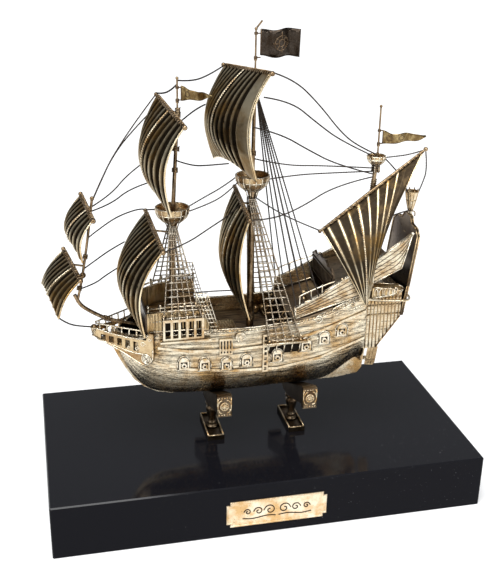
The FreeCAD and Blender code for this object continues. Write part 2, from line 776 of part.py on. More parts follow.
fore_foot = (-58.0, 0, 132.6)
fore_head = (-57.0, 0, FORE_TOP_LEVEL)
fore_hounds = rod_between((-57.1, 0, 193.0), fore_head, 1.9, 3.6)
keep_shape("fore_mast", rod_between(fore_foot, fore_head, mast, mast * 0.85).fuse(fore_hounds))
main_foot = (-3.0, 0, well_floor)
main_head = (-3.0, 0, MAIN_TOP_LEVEL)
main_hounds = rod_between((-3.0, 0, 212.5), main_head, 2.0, 3.8)
keep_shape("main_mast", rod_between(main_foot, main_head, mast * 1.08, mast * 0.9).fuse(main_hounds))
mizzen_foot = (78.6, 0, 160.8)
mizzen_head = (83.4, 0, MIZZEN_TOP_LEVEL)
keep_shape("mizzen_mast", rod_between(mizzen_foot, mizzen_head, mast * 0.75, mast * 0.6))


def topmast_with_staff(foot, shoulder, staff_top, stops):
    """A tapered spar that carries a slim vertical staff with two thrust collars."""
    shapes = [rod_between(foot, shoulder, topmast, topmast * 0.7),
              rod_between((shoulder[0], 0, shoulder[2] - 1.5), staff_top, staff),
              Part.makeSphere(staff * 1.7, Vector(*staff_top))]
    for level in stops:
        shapes.append(Part.makeCylinder(COLLAR, 0.8, Vector(shoulder[0], 0, level - 0.8)))
    return joined(shapes)


RING_GAP = 0.15
PENNANTS = {
    "main_flag": dict(x=-2.5, low=304.5, high=321.0),
    "fore_pennant": dict(x=-52.8, low=279.0, high=288.5),
    "mizzen_pennant": dict(x=84.2, low=246.0, high=256.5),
}
fore_spar = topmast_with_staff((-57.0, 0, FORE_TOP_LEVEL), (-52.8, 0, 272.0), (-52.8, 0, 293.5),
                               [279.0 - RING_GAP])
keep_shape("fore_topmast", fore_spar)
main_spar = topmast_with_staff((-3.0, 0, MAIN_TOP_LEVEL), (-2.5, 0, 297.0), (-2.5, 0, 323.0),
                               [304.5 - RING_GAP])
keep_shape("main_topmast", main_spar.fuse(rod_between((-2.5, 0, 323.0), (1.5, 0, 328.0), staff)))
mizzen_spar = topmast_with_staff((83.4, 0, MIZZEN_TOP_LEVEL), (84.2, 0, 240.5), (84.2, 0, 272.0),
                                 [246.0 - RING_GAP])
keep_shape("mizzen_staff", mizzen_spar)


def masthead_top(label, x, level, radius, rise, bore):
    body = new_body(label)
    inner = radius - top_wall
    profile = [(bore, level), (radius * 0.45, level), (radius * 0.78, rise * 0.28 + level),
               (radius * 0.95, rise * 0.62 + level), (radius, rise + level),
               (inner, rise + level), (inner * 0.94, rise * 0.66 + level),
               (inner * 0.74, rise * 0.36 + level), (inner * 0.42, top_wall + level),
               (bore, top_wall + level)]
    turn(body, outline_sketch(body, "XZ_Plane", f"{label}_profile", [profile], (x, 0, 0)))
    return body


spar_hole = cell("topmast_radius") + 0.1
masthead_top("fore_top", -57.0, FORE_TOP_LEVEL, top_radius, top_height, spar_hole)
masthead_top("main_top", -3.0, MAIN_TOP_LEVEL, top_radius, top_height, spar_hole)
masthead_top("mizzen_top", 83.4, MIZZEN_TOP_LEVEL, cell("mizzen_top_radius"),
             cell("mizzen_top_height"), spar_hole)

lantern = new_body("stern_lantern")
lantern_profile = [(0, 195.0), (1.6, 195.0), (1.2, 198.0), (2.2, 200.0), (4.8, 212.0),
                   (4.1, 212.0), (1.6, 201.0), (0, 201.0)]
turn(lantern, outline_sketch(lantern, "XZ_Plane", "lantern_profile", [lantern_profile],
     (111.5, 0, 0)))

# -------------------------------------------------------------- yards and sails

yard_radius = float(cell("yard_radius"))
yard_ball = float(cell("yard_ball"))
sail_thick = float(cell("sail_thick"))

# Port and starboard yard ends, the port and starboard clews, the depth of the
# billow, how far the yard stands off its mast and the mast's place.
SQUARE_SAILS = {
    "fore_course": dict(port=(-69.5, -44, 194.0), starboard=(-69.5, 44, 194.0),
                        clew_port=(-82.0, -43, 134.5), clew_starboard=(-85.0, 43, 135.5),
                        billow=12.0, belly=5.0, mast=(-57.2, 0, 192.0)),
    "fore_topsail": dict(port=(-54.6, -40, 271.0), starboard=(-60.7, 40, 276.0),
                         clew_port=(-63.0, -38, 213.5), clew_starboard=(-67.0, 38, 214.0),
                         billow=11.0, belly=4.0, mast=(-53.0, 0, 271.5)),
    "main_course": dict(port=(-13.5, -39, 210.0), starboard=(-6.5, 39, 210.0),
                        clew_port=(-12.0, -38, 139.0), clew_starboard=(-12.0, 38, 139.0),
                        billow=9.0, belly=4.0, mast=(-3.0, 0, 209.0)),
    "main_topsail": dict(port=(-1.8, -41, 302.0), starboard=(-14.7, 41, 294.5),
                         clew_port=(-10.0, -43, 236.0), clew_starboard=(-22.0, 43, 230.5),
                         billow=12.0, belly=6.0, mast=(-2.6, 0, 296.0)),
    "sprit_topsail": dict(port=(-110.6, -30, 212.5), starboard=(-114.6, 30, 212.5),
                          clew_port=(-118.5, -29, 184.5), clew_starboard=(-125.5, 29, 184.5),
                          billow=6.0, belly=2.5, mast=(-109.8, 0, 212.0)),
    "spritsail": dict(port=(-120.3, -31, 173.7), starboard=(-128.2, 31, 173.7),
                      clew_port=(-135.5, -33, 149.0), clew_starboard=(-144.5, 33, 149.0),
                      billow=4.0, belly=2.5, mast=(-116.2, 0, 172.0)),
}
COLUMNS = 6
ROWS = 6


def blend(start, end, share):
    return Vector(*start) + (Vector(*end) - Vector(*start)) * share


def yard_shape(port, starboard, mast_spot):
    """A double-tapered spar with a ball at each end and a sling to its mast."""
    middle = blend(port, starboard, 0.5)
    sling_end = Vector(*mast_spot)
    shapes = [rod_between(middle, port, yard_radius, yard_radius * 0.65),
              rod_between(middle, starboard, yard_radius, yard_radius * 0.65),
              Part.makeSphere(yard_ball * 0.8, Vector(*port)),
              Part.makeSphere(yard_ball * 0.8, Vector(*starboard)),
              Part.makeSphere(yard_radius * 1.02, middle),
              rod_between(middle, sling_end, 0.7)]
    return joined(shapes)


def sail_sheet(rows, thicken):
    surface = Part.BSplineSurface()
    surface.interpolate(rows)
    return surface.toShape().extrude(thicken)


def square_sail(port, starboard, clew_port, clew_starboard, billow, belly):
    """A sheet hung from its yard, blown forward, its foot arched between the clews."""
    rows = []
    for row in range(ROWS + 1):
        drop = row / ROWS
        left = blend(port, clew_port, drop)
        right = blend(starboard, clew_starboard, drop)
        blown = billow * math.sin(math.pi * drop ** 0.9)
        line = []
        for column in range(COLUMNS + 1):
            share = column / COLUMNS
            arch = 4 * share * (1 - share)
            spot = left + (right - left) * (0.03 + 0.94 * share)
            forward = blown * (0.75 + 0.25 * arch) + belly * arch * math.sin(math.pi * drop * 0.75)
            lift = 7.0 * arch * drop ** 3
            line.append(spot + Vector(-forward, 0, lift))
        rows.append(line)
    return sail_sheet(rows, Vector(sail_thick, 0, 0))


for name, sail in SQUARE_SAILS.items():
    keep_shape(f"{name}_yard", yard_shape(sail["port"], sail["starboard"], sail["mast"]))
    keep_shape(f"{name}_sail", square_sail(sail["port"], sail["starboard"], sail["clew_port"],
                                           sail["clew_starboard"], sail["billow"],
                                           sail["belly"]))

# The lateen sail: a slanting yard on the mizzen mast's port side.
LATEEN_TACK = (44.0, -5.5, 188.5)
LATEEN_PEAK = (116.5, -5.5, 243.0)
LATEEN_CLEW = (71.5, -32.0, 143.0)
LATEEN_BILLOW = 6.0
LATEEN_EDGE = 6.5
lateen_sling = (80.9, 0, 214.0)
lateen_middle = blend(LATEEN_TACK, LATEEN_PEAK, 0.5)
keep_shape("mizzen_yard", joined([
    rod_between(lateen_middle, LATEEN_TACK, yard_radius, yard_radius * 0.65),
    rod_between(lateen_middle, LATEEN_PEAK, yard_radius, yard_radius * 0.65),
    Part.makeSphere(yard_radius * 1.02, lateen_middle),
    Part.makeSphere(yard_ball * 0.7, Vector(*LATEEN_TACK)),
    Part.makeSphere(yard_ball * 0.8, Vector(*LATEEN_PEAK)),
    rod_between(lateen_middle, lateen_sling, 0.7)]))
CLEW_WIDTH = 0.06
lateen_rows = []
for row in range(ROWS + 1):
    drop = row / ROWS
    line = []
    for column in range(COLUMNS + 1):
        share = column / COLUMNS
        narrow = 0.5 + (share - 0.5) * CLEW_WIDTH
        head_spot = blend(LATEEN_TACK, LATEEN_PEAK, 0.02 + 0.96 * share)
        clew_spot = Vector(*LATEEN_CLEW) + Vector(30 * (narrow - 0.5), 0, 22 * (narrow - 0.5))
        arch = 4 * share * (1 - share)
        blown = math.sin(math.pi * drop ** 0.85) * (LATEEN_EDGE + LATEEN_BILLOW * arch ** 0.7)
        spot = head_spot + (clew_spot - head_spot) * drop
        hollow = 6.0 * math.sin(math.pi * drop) * share ** 2
        line.append(spot + Vector(-hollow, -blown, 0))
    lateen_rows.append(line)
keep_shape("mizzen_sail", sail_sheet(lateen_rows, Vector(0, sail_thick, 0)))

# --------------------------------------------------------- shrouds and fittings

net_wire = float(cell("net_wire"))


def net(top, base, columns, rows):
    """A flat rope ladder: a four-cornered plate pierced by its meshes."""
    top_start, top_end = [Vector(*spot) for spot in top]
    base_start, base_end = [Vector(*spot) for spot in base]

    def spot(across, down):
        left = top_start + (base_start - top_start) * down
        right = top_end + (base_end - top_end) * down
        return left + (right - left) * across

    corners = [spot(0, 0), spot(1, 0), spot(1, 1), spot(0, 1)]
    face = Part.Face(Part.makePolygon(corners + corners[:1]))
    normal = face.normalAt(0, 0)
    plate = face.extrude(normal * net_wire)
    windows = []
    for row in range(rows):
        for column in range(columns):
            near_top = spot(column / columns, row / rows)
            far_top = spot((column + 1) / columns, row / rows)
            width = (far_top - near_top).Length
            if width < 2.2 * net_wire:
                continue
            side = 0.5 * net_wire / (width * columns)
            step = 0.5 * net_wire / ((base_start - top_start).Length)
            hole = [spot(column / columns + side, row / rows + step),
                    spot((column + 1) / columns - side, row / rows + step),
                    spot((column + 1) / columns - side, (row + 1) / rows - step),
                    spot(column / columns + side, (row + 1) / rows - step)]
            window = Part.Face(Part.makePolygon(hole + hole[:1])).extrude(normal * 4 * net_wire)
            windows.append(window.translated(normal * -1.5 * net_wire))
    return plate.cut(Part.makeCompound(windows))


fore_net = net([(-59.4, 3.0, 197.0), (-55.0, 3.0, 197.0)], [(-68.0, 30.6, 143.0), (-43.0, 30.6, 143.0)],
               5, 13)
main_net = net([(-5.6, 3.0, 213.0), (-1.4, 3.0, 213.0)], [(3.0, 33.4, 122.0), (25.0, 33.4, 122.0)],
               4, 20)
keep_shape("shrouds", Part.makeCompound([half for item in (fore_net, main_net)
                                         for half in mirrored_pair(item).Solids]))

CHANNEL_OUT = 34.4
fore_channel = slab(-71.0, -37.0, 27.0, CHANNEL_OUT - 1.0, 126.0, 127.2).cut(hull_solid)
fence_windows = [rectangle(-67.6 + 5.2 * index, -64.0 + 5.2 * index, 129.0, 140.6)
                 for index in range(5)]
fence = pierced(rectangle(-69.0, -41.6, 127.2, 142.4), fence_windows, 1.0)
fence.translate(Vector(0, 31.2, 0))
main_channel = slab(0.0, 30.0, 28.0, CHANNEL_OUT, 119.0, 120.2).cut(hull_solid)
ladder = pierced(rectangle(-0.9, 2.9, 98.0, 126.0),
                 [rectangle(0.1, 1.9, 99.2 + 3.8 * index, 101.6 + 3.8 * index)
                  for index in range(7)], 2.0)
ladder.translate(Vector(0, 29.6, 0))
rack = pierced(rectangle(-31.0, -22.0, 113.4, 125.0),
               [rectangle(-30.2 + 2.1 * index, -29.1 + 2.1 * index, 114.6, 123.8)
                for index in range(4)], 2.0)
rack.translate(Vector(0, 29.6, 0))
shield = Part.makeCylinder(3.6, 2.0, Vector(-16.5, 29.4, 125.6), Vector(0, 1, 0))
fittings = []
for item in (fore_channel, fence, main_channel, ladder, rack, shield):
    trimmed = item.cut(hull_solid)
    body = max(trimmed.Solids, key=lambda solid: solid.Volume)
    fittings += mirrored_pair(body).Solids
keep_shape("side_fittings", Part.makeCompound(fittings))

# ------------------------------------------------------------------- rigging

wire_radius = float(cell("wire_radius"))

BACKSTAYS = [[(-1.2, side * 0.6, 283.0), (22.5 + 5.2 * index, side * 28.2, 143.2 + 2.2 * index)]
             for side in (-1, 1) for index in range(4)]
keep_shape("backstays", Part.makeCompound([wire(points, wire_radius * 1.2)
                                           for points in BACKSTAYS]))

STAYS = {
    "sprit_lift": [(-60.6, 39.5, 276.8), (-75.0, 30.0, 262.0), (-89.0, 20.0, 246.0),
                   (-99.0, 9.0, 234.0), (-108.6, 0.6, 217.0)],
    "sprit_bowline_high": [(-63.2, 40.0, 266.0), (-80.0, 30.0, 253.0), (-94.0, 16.0, 240.0),
                           (-103.0, 6.0, 226.0), (-109.6, 0.6, 214.4)],
    "sprit_bowline_middle": [(-68.0, 38.2, 232.0), (-83.0, 26.0, 226.0), (-96.0, 12.0, 216.0),
                             (-109.9, 0.6, 212.0)],
    "sprit_bowline_low": [(-67.4, 37.8, 216.0), (-82.0, 28.0, 215.0), (-96.0, 14.0, 209.0),
                          (-110.6, 0.6, 209.0)],
    "fore_lift": [(-113.0, 0.6, 191.0), (-98.0, 16.0, 196.5), (-84.0, 32.0, 197.0),
                  (-72.0, 43.0, 196.0), (-69.6, 44.0, 194.6)],
    "fore_top_lift": [(-69.3, 43.8, 194.6), (-66.0, 30.0, 199.0), (-62.0, 16.0, 203.0),
                      (-60.2, 11.0, 205.6)],
    "fore_bowline_high": [(-116.8, 0.8, 169.4), (-104.0, 16.0, 172.0), (-95.0, 30.0, 172.0),
                          (-85.2, 41.2, 172.6)],
    "fore_bowline_low": [(-120.6, 0.8, 155.2), (-109.0, 14.0, 153.0), (-100.0, 28.0, 153.6),
                         (-91.2, 41.0, 153.0)],
    "spritsail_sheet": [(-135.2, -31.2, 149.6), (-130.0, -22.0, 141.0), (-121.0, -10.0, 133.0),
                        (-113.2, -1.4, 128.2)],
    "fore_brace": [(-69.2, -44.0, 194.4), (-54.0, -36.0, 196.0), (-36.0, -22.0, 201.0),
                   (-20.0, -10.0, 205.4), (-11.2, -2.0, 209.4)],
    "masthead_port": [(-46.2, -4.0, 207.4), (-33.0, -5.0, 212.0), (-22.0, -5.0, 218.0),
                      (-13.8, -4.0, 225.4)],
    "masthead_starboard": [(-46.2, 4.0, 207.6), (-34.0, 5.0, 214.0), (-23.0, 5.0, 219.5),
                           (-13.8, 4.0, 226.4)],
    "topmast_stay": [(-54.0, -0.8, 241.0), (-46.0, -9.0, 239.4), (-37.0, -20.0, 242.0),
                     (-26.0, -32.0, 246.0)],
    "main_bowline": [(-53.2, 0.6, 264.0), (-44.0, 13.0, 267.0), (-35.0, 26.0, 269.0),
                     (-27.6, 39.0, 268.6)],
    "main_lift": [(-52.8, 0.4, 292.0), (-42.0, 12.0, 289.0), (-28.0, 26.0, 290.0),
                  (-15.0, 40.6, 293.8)],
    "fore_topsail_lift": [(-52.9, 0.3, 289.6), (-54.6, 12.0, 284.0), (-58.0, 26.0, 279.0),
                          (-60.6, 39.6, 277.0)],
    "low_stay": [(-57.6, 0.0, 150.0), (-46.0, -4.0, 148.6), (-34.0, -8.0, 151.0),
                 (-17.6, -12.0, 152.0)],
    "topsail_brace_high": [(-1.6, -40.8, 302.6), (14.0, -33.0, 297.0), (34.0, -23.0, 279.0),
                           (52.0, -14.0, 259.0), (66.0, -8.0, 248.0), (82.0, -1.4, 240.0)],
    "topsail_brace_low": [(-6.6, -40.6, 288.0), (12.0, -34.0, 284.0), (32.0, -24.0, 268.0),
                          (54.0, -12.0, 252.0), (81.8, -0.8, 238.0)],
    "topsail_sheet": [(-12.2, -41.0, 270.0), (6.0, -34.0, 264.0), (28.0, -22.0, 250.0),
                      (52.0, -10.0, 236.0), (81.2, -1.0, 226.0)],
    "mizzen_stay_high": [(-2.0, -0.8, 240.0), (18.0, -3.0, 235.0), (46.0, -3.0, 234.0),
                         (82.2, -0.6, 230.0)],
    "mizzen_stay_low": [(7.6, -2.0, 226.0), (24.0, -4.0, 228.6), (48.0, -4.0, 229.0),
                        (82.0, -1.2, 228.0)],
    "main_brace": [(-13.4, -38.8, 210.4), (2.0, -33.0, 208.0), (24.0, -24.0, 212.0),
                   (52.0, -10.0, 222.0), (81.0, -1.2, 224.0)],
    "lateen_stay": [(-0.8, -1.6, 213.6), (10.0, -4.0, 206.0), (26.0, -5.0, 197.0),
                    (44.0, -5.5, 188.9)],
    "lateen_lift": [(89.4, -1.0, 237.2), (98.0, -2.0, 238.0), (107.0, -4.0, 239.6),
                    (116.4, -5.3, 242.6)],
    "peak_halyard": [(116.6, -5.2, 242.6), (119.6, -4.0, 229.0), (118.0, -2.0, 218.0),
                     (114.6, -0.6, 207.4)],
    "lantern_stay": [(89.0, -2.0, 236.8), (99.0, -3.0, 227.0), (106.0, -2.0, 217.0),
                     (108.2, -1.0, 208.6)],
    "leech_line": [(88.6, -11.0, 196.0), (97.0, -7.0, 198.6), (110.4, -1.0, 198.4)],
}
keep_shape("stays", Part.makeCompound([wire(points, wire_radius) for points in STAYS.values()]))

# ------------------------------------------------------------- moving pieces

# The rudder hangs behind the sternpost on pintles; its axis is raked aft.
RUDDER_FOOT = Vector(84.4, 0, 80.0)
RUDDER_TALL = 23.0
RUDDER_LONG = 8.6
RUDDER_HALF = 0.7
PINTLE_LEVELS = (4.0, 17.5)
PINTLE_TALL = 2.6
rake = float(cell("rudder_rake"))
pintle = float(cell("pintle_radius"))
pintle_hole = pintle + float(cell("pintle_clearance"))


def hang(shape):
    """Turns a shape drawn on an upright axis onto the raked sternpost."""
    return swung(shape, Vector(0, 0, 0), Vector(0, 1, 0), rake).translated(RUDDER_FOOT)


blade_outline = [(1.1, 0), (RUDDER_LONG - 1.4, 0), (RUDDER_LONG, 2.0), (RUDDER_LONG, 14.0),
                 (5.4, RUDDER_TALL + 1.0), (1.1, RUDDER_TALL - 1.4)]
blade = flat_plate(blade_outline, 2 * RUDDER_HALF, -RUDDER_HALF)
pins = []
for level in PINTLE_LEVELS:
    arm = slab(0, 2.0, -0.5, 0.5, level + 1.7, level + 2.6)
    pins += [arm, Part.makeCylinder(0.9, 0.9, Vector(0, 0, level + 1.7)),
             Part.makeCylinder(pintle, PINTLE_TALL, Vector(0, 0, level))]
rudder = joined([blade] + pins)
for level in PINTLE_LEVELS:
    gap = Part.makeCylinder(1.35, 2.1, Vector(0, 0, level - 0.3))
    rudder = rudder.cut(gap.cut(Part.makeCylinder(pintle, RUDDER_TALL)))
keep_shape("rudder", hang(rudder))
gudgeons = []
for level in PINTLE_LEVELS:
    ring = Part.makeCylinder(1.1, 1.5, Vector(0, 0, level))
    strap = slab(-3.2, 0, -0.6, 0.6, level, level + 1.5)
    bore = Part.makeCylinder(pintle_hole, 4, Vector(0, 0, level - 1))
    gudgeons.append(hang(ring.fuse(strap).cut(bore).removeSplitter()))
keep_shape("rudder_gudgeons", Part.makeCompound(gudgeons))

# Flags: thin plates on two tube rings that turn round the slim staffs.
FLAG_THICK = 0.7
RING_OUT = 1.2
flag_bore = staff + float(cell("flag_clearance"))
FLAG_OUTLINES = {
    "main_flag": [(3.0, 2.4), (12.0, 0.6), (20.0, 2.0), (28.5, 1.2), (28.8, 9.0), (28.3, 17.6),
                  (19.0, 18.6), (11.0, 17.2), (3.0, 18.2)],
    "fore_pennant": [(2.2, 0.4), (12.0, 0.0), (22.5, 1.0), (22.5, 3.4), (12.0, 6.0), (2.2, 9.8)],
    "mizzen_pennant": [(2.4, 1.4), (14.0, 0.2), (25.0, 2.2), (34.0, 3.0), (34.0, 6.0),
                       (25.0, 6.2), (14.0, 5.2), (2.4, 9.6)],
}
for name, seat_place in PENNANTS.items():
    tall = seat_place["high"] - seat_place["low"]
    flag = flat_plate(FLAG_OUTLINES[name], FLAG_THICK, -FLAG_THICK / 2)
    parts_of_flag = [flag]
    for level in (0.0, tall - 1.6):
        parts_of_flag.append(Part.makeCylinder(RING_OUT, 1.6, Vector(0, 0, level)))
        lug_out = 3.4
        parts_of_flag.append(slab(0.3, lug_out, -0.35, 0.35, level + 0.2, level + 1.4))
    hoist = slab(2.4, 3.4, -0.35, 0.35, 0.2, tall - 0.2)
    body = joined(parts_of_flag + [hoist])
    body = body.cut(Part.makeCylinder(flag_bore, 40, Vector(0, 0, -5)))
    body.translate(Vector(seat_place["x"], 0, seat_place["low"]))
    keep_shape(name, body)

# --------------------------------------------------------------------- export

doc.recompute()
for item in doc.Objects:
    if "Invalid" in item.State or "Error" in item.State:
        raise RuntimeError(f"{item.Label} did not compute")
for item in pieces:
    if item.Shape.isNull() or not item.Shape.isValid() or not item.Shape.Solids:
        raise RuntimeError(f"{item.Label} has no valid solid")
for item in pieces:
    item.Shape.exportStep(f"parts/{item.Label}.step")
    print(f"{item.Label}: {len(item.Shape.Solids)} solids, {item.Shape.Volume:.1f} mm3")
print(f"{len(pieces)} pieces")
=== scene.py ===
import math

import bmesh
import bpy
from mathutils import Matrix, Vector
from mathutils.bvhtree import BVHTree


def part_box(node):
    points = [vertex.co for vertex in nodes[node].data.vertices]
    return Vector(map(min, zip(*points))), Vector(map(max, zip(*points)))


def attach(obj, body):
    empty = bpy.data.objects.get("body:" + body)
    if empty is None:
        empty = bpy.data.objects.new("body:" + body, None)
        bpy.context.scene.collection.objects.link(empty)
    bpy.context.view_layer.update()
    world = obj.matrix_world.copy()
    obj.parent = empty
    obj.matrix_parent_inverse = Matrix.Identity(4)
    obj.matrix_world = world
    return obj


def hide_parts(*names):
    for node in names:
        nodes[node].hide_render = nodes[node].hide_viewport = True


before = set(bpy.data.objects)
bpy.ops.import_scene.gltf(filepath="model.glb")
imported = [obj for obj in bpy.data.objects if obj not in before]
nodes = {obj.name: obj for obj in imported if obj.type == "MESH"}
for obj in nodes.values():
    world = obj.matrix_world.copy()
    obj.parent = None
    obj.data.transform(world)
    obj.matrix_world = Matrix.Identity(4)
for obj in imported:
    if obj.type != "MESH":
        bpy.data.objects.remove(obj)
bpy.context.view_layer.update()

# The studio: a pale table that runs out of sight, a broad soft light overhead
# and soft boxes to either side, with the camera off the port bow, looking down.
scene = bpy.context.scene
scene.view_settings.view_transform = "Standard"
CAMERA_PLACE = (-0.14405, -0.58610, 0.39571)
CAMERA_PAN, CAMERA_TILT, CAMERA_LEAN = -0.23595, 0.39456, 0.01958
lens = bpy.data.cameras.new("camera")
lens.lens = 57.65
lens.sensor_width = 36.0
lens.clip_end = 60.0
camera = bpy.data.objects.new("camera", lens)
scene.collection.objects.link(camera)
turned = (Matrix.Rotation(CAMERA_PAN, 4, "Z") @ Matrix.Rotation(math.pi / 2 - CAMERA_TILT, 4, "X")
          @ Matrix.Rotation(CAMERA_LEAN, 4, "Z"))
camera.matrix_world = Matrix.Translation(CAMERA_PLACE) @ turned
scene.camera = camera

world = bpy.data.worlds.new("studio")
world.use_nodes = True
world.node_tree.nodes["Background"].inputs["Color"].default_value = (0.93, 0.96, 1.0, 1)
world.node_tree.nodes["Background"].inputs["Strength"].default_value = 0.30
scene.world = world


def soft_light(name, kind, place, aim, energy, size):
    lamp = bpy.data.lights.new(name, kind)
    lamp.energy = energy
    if kind == "SUN":
        lamp.angle = size
    else:
        lamp.size = size
    holder = bpy.data.objects.new(name, lamp)
    scene.collection.objects.link(holder)
    heading = (Vector(aim) - Vector(place)).to_track_quat("-Z", "Y").to_matrix().to_4x4()
    holder.matrix_world = Matrix.Translation(place) @ heading
    return lamp


soft_light("overhead", "SUN", (-0.5, -0.7, 2.0), (0, 0, 0), 3.7, math.radians(50))
soft_light("left_box", "AREA", (-1.3, -0.7, 0.75), (0, 0, 0.15), 5, 0.35)
soft_light("right_box", "AREA", (0.9, -1.0, 0.7), (0, 0, 0.15), 5, 0.3)


def add(tree, kind, plugs=None, **settings):
    """A shader node with its settings, its links and its own values."""
    item = tree.nodes.new("ShaderNode" + kind)
    for key, value in settings.items():
        setattr(item, key, value)
    for key, value in (plugs or {}).items():
        if isinstance(value, bpy.types.NodeSocket):
            tree.links.new(value, item.inputs[key])
        else:
            item.inputs[key].default_value = value
    return item


def mixed(tree, share, first, second):
    return add(tree, "Mix", {0: share, 6: first, 7: second}, data_type="RGBA").outputs[2]


def spread(tree, value, low, high, to_low=0.0, to_high=1.0):
    return add(tree, "MapRange", {0: value, 1: low, 2: high, 3: to_low, 4: to_high}).outputs[0]


def maths(tree, operation, first, second=0.0):
    return add(tree, "Math", {0: first, 1: second}, operation=operation).outputs[0]


def new_material(name, metallic):
    material = bpy.data.materials.new(name)
    material.use_nodes = True
    shader = material.node_tree.nodes["Principled BSDF"]
    shader.inputs["Metallic"].default_value = metallic
    return material, material.node_tree, shader


table, tree, shader = new_material("table_paper", 0.0)
fleck = add(tree, "TexNoise", {"Scale": 40.0, "Detail": 3.0})
paper = mixed(tree, fleck.outputs["Fac"], (0.90, 0.90, 0.90, 1), (0.93, 0.93, 0.93, 1))
tree.links.new(paper, shader.inputs["Base Color"])
shader.inputs["Roughness"].default_value = 0.7
bm = bmesh.new()
bmesh.ops.create_grid(bm, x_segments=4, y_segments=4, size=14.0)
bmesh.ops.translate(bm, verts=bm.verts, vec=(0, 0, -0.0004))
mesh = bpy.data.meshes.new("table")
bm.to_mesh(mesh)
bm.free()
mesh.materials.append(table)
floor = bpy.data.objects.new("table", mesh)
scene.collection.objects.link(floor)


def dress(finish, *names):
    """Gives CAD pieces their finish."""
    for name in names:
        for place in nodes[name].material_slots:
            place.material = finish


lacquer, tree, shader = new_material("piano_lacquer", 0.0)
place = add(tree, "TexCoord").outputs["Object"]
dust = add(tree, "TexNoise", {"Vector": place, "Scale": 900.0, "Detail": 2.0}).outputs["Fac"]
haze = add(tree, "TexNoise", {"Vector": place, "Scale": 9.0, "Detail": 4.0}).outputs["Fac"]
strokes = add(tree, "Mapping", {"Vector": place, "Scale": (30, 260, 30), "Rotation": (0, 0, 0.5)})
wipe = add(tree, "TexNoise", {"Vector": strokes.outputs[0], "Scale": 1.0, "Detail": 3.0}).outputs["Fac"]
specks = spread(tree, dust, 0.73, 0.78)
dusty = maths(tree, "MULTIPLY", specks, spread(tree, haze, 0.45, 0.7))
tree.links.new(mixed(tree, dusty, (0.006, 0.006, 0.008, 1), (0.22, 0.22, 0.23, 1)),
               shader.inputs["Base Color"])
shine = maths(tree, "ADD", spread(tree, haze, 0.3, 0.7, 0.04, 0.12), spread(tree, wipe, 0.5, 0.8, 0, 0.06))
tree.links.new(shine, shader.inputs["Roughness"])
tree.links.new(add(tree, "Bump", {"Strength": 0.05, "Distance": 0.0003, "Height": haze}).outputs[0],
               shader.inputs["Normal"])
# Painted shade: the plinth's upright faces get far less specular than its top, set by which way each face
# points.
facing = add(tree, "SeparateXYZ", {"Vector": add(tree, "TexCoord").outputs["Normal"]}).outputs["Z"]
tree.links.new(spread(tree, facing, 0.2, 0.9, 0.05, 0.36), shader.inputs["Specular IOR Level"])
dress(lacquer, "plinth")

# The nameplate: a thin silver plate with a beaded edge and notched corners, let
# onto the plinth's port face. It carries an engraved scroll and no lettering.


def tarnish_group():
    """Silver toned to brown in patches, with dull dark oxide in its recesses, and a given darkness that is
    oxide on most pieces and painted shade on some.
    """
    group = bpy.data.node_groups.new("tarnish", "ShaderNodeTree")
    for label, kind, value in (("Bright", "NodeSocketColor", (0.8, 0.76, 0.66, 1)),
                               ("Warm", "NodeSocketColor", (0.5, 0.36, 0.2, 1)),
                               ("Dark", "NodeSocketColor", (0.03, 0.025, 0.02, 1)),
                               ("Scale", "NodeSocketFloat", 60.0),
                               ("Toning", "NodeSocketFloat", 0.5),
                               ("Polish", "NodeSocketFloat", 0.2),
                               ("Reach", "NodeSocketFloat", 0.004),
                               ("Recess", "NodeSocketFloat", 0.0)):
        group.interface.new_socket(label, in_out="INPUT", socket_type=kind).default_value = value
    for label, kind in (("Color", "NodeSocketColor"), ("Roughness", "NodeSocketFloat"),
                        ("Height", "NodeSocketFloat"), ("Edge", "NodeSocketColor")):
        group.interface.new_socket(label, in_out="OUTPUT", socket_type=kind)
    take = group.nodes.new("NodeGroupInput").outputs
    give = group.nodes.new("NodeGroupOutput").inputs
    place = add(group, "TexCoord").outputs["Object"]
    cloud = add(group, "TexNoise", {"Vector": place, "Scale": take["Scale"], "Detail": 5.0,
                                    "Roughness": 0.65}).outputs["Fac"]
    pits = add(group, "TexNoise", {"Vector": place, "Scale": maths(group, "MULTIPLY", take["Scale"], 9.0),
                                   "Detail": 3.0, "Roughness": 0.7}).outputs["Fac"]
    hollow = add(group, "AmbientOcclusion", {"Distance": take["Reach"]}, samples=6).outputs["AO"]
    edge = maths(group, "SUBTRACT", 0.62, maths(group, "MULTIPLY", take["Toning"], 0.32))
    toned = spread(group, cloud, maths(group, "SUBTRACT", edge, 0.06), maths(group, "ADD", edge, 0.16))
    base = mixed(group, toned, take["Bright"], take["Warm"])
    deep = maths(group, "POWER", maths(group, "SUBTRACT", 1.0, hollow), 0.8)
    # The given Recess darkness: oxide in hollows and seams, and painted shade on the sheets that carry it.
    oxide_and_painted_shade = maths(group, "MULTIPLY", take["Recess"], spread(group, cloud, 0.5, 0.7, 1.0, 0.78))
    dark = maths(group, "MAXIMUM", oxide_and_painted_shade, spread(group, deep, 0.25, 0.85))
    spots = spread(group, pits, 0.60, 0.74, 0.0, 0.65)
    dark = maths(group, "MAXIMUM", dark, spots)
    group.links.new(mixed(group, dark, base, take["Dark"]), give["Color"])
    rough = maths(group, "ADD", take["Polish"], spread(group, pits, 0.3, 0.7, 0.0, 0.16))
    rough = maths(group, "ADD", rough, maths(group, "MULTIPLY", dark, 0.22))
    group.links.new(rough, give["Roughness"])
    group.links.new(mixed(group, dark, (1, 1, 1, 1), (0.05, 0.035, 0.025, 1)), give["Edge"])
    group.links.new(maths(group, "ADD", pits, maths(group, "MULTIPLY", cloud, 0.6)), give["Height"])
    return group


tarnish = tarnish_group()


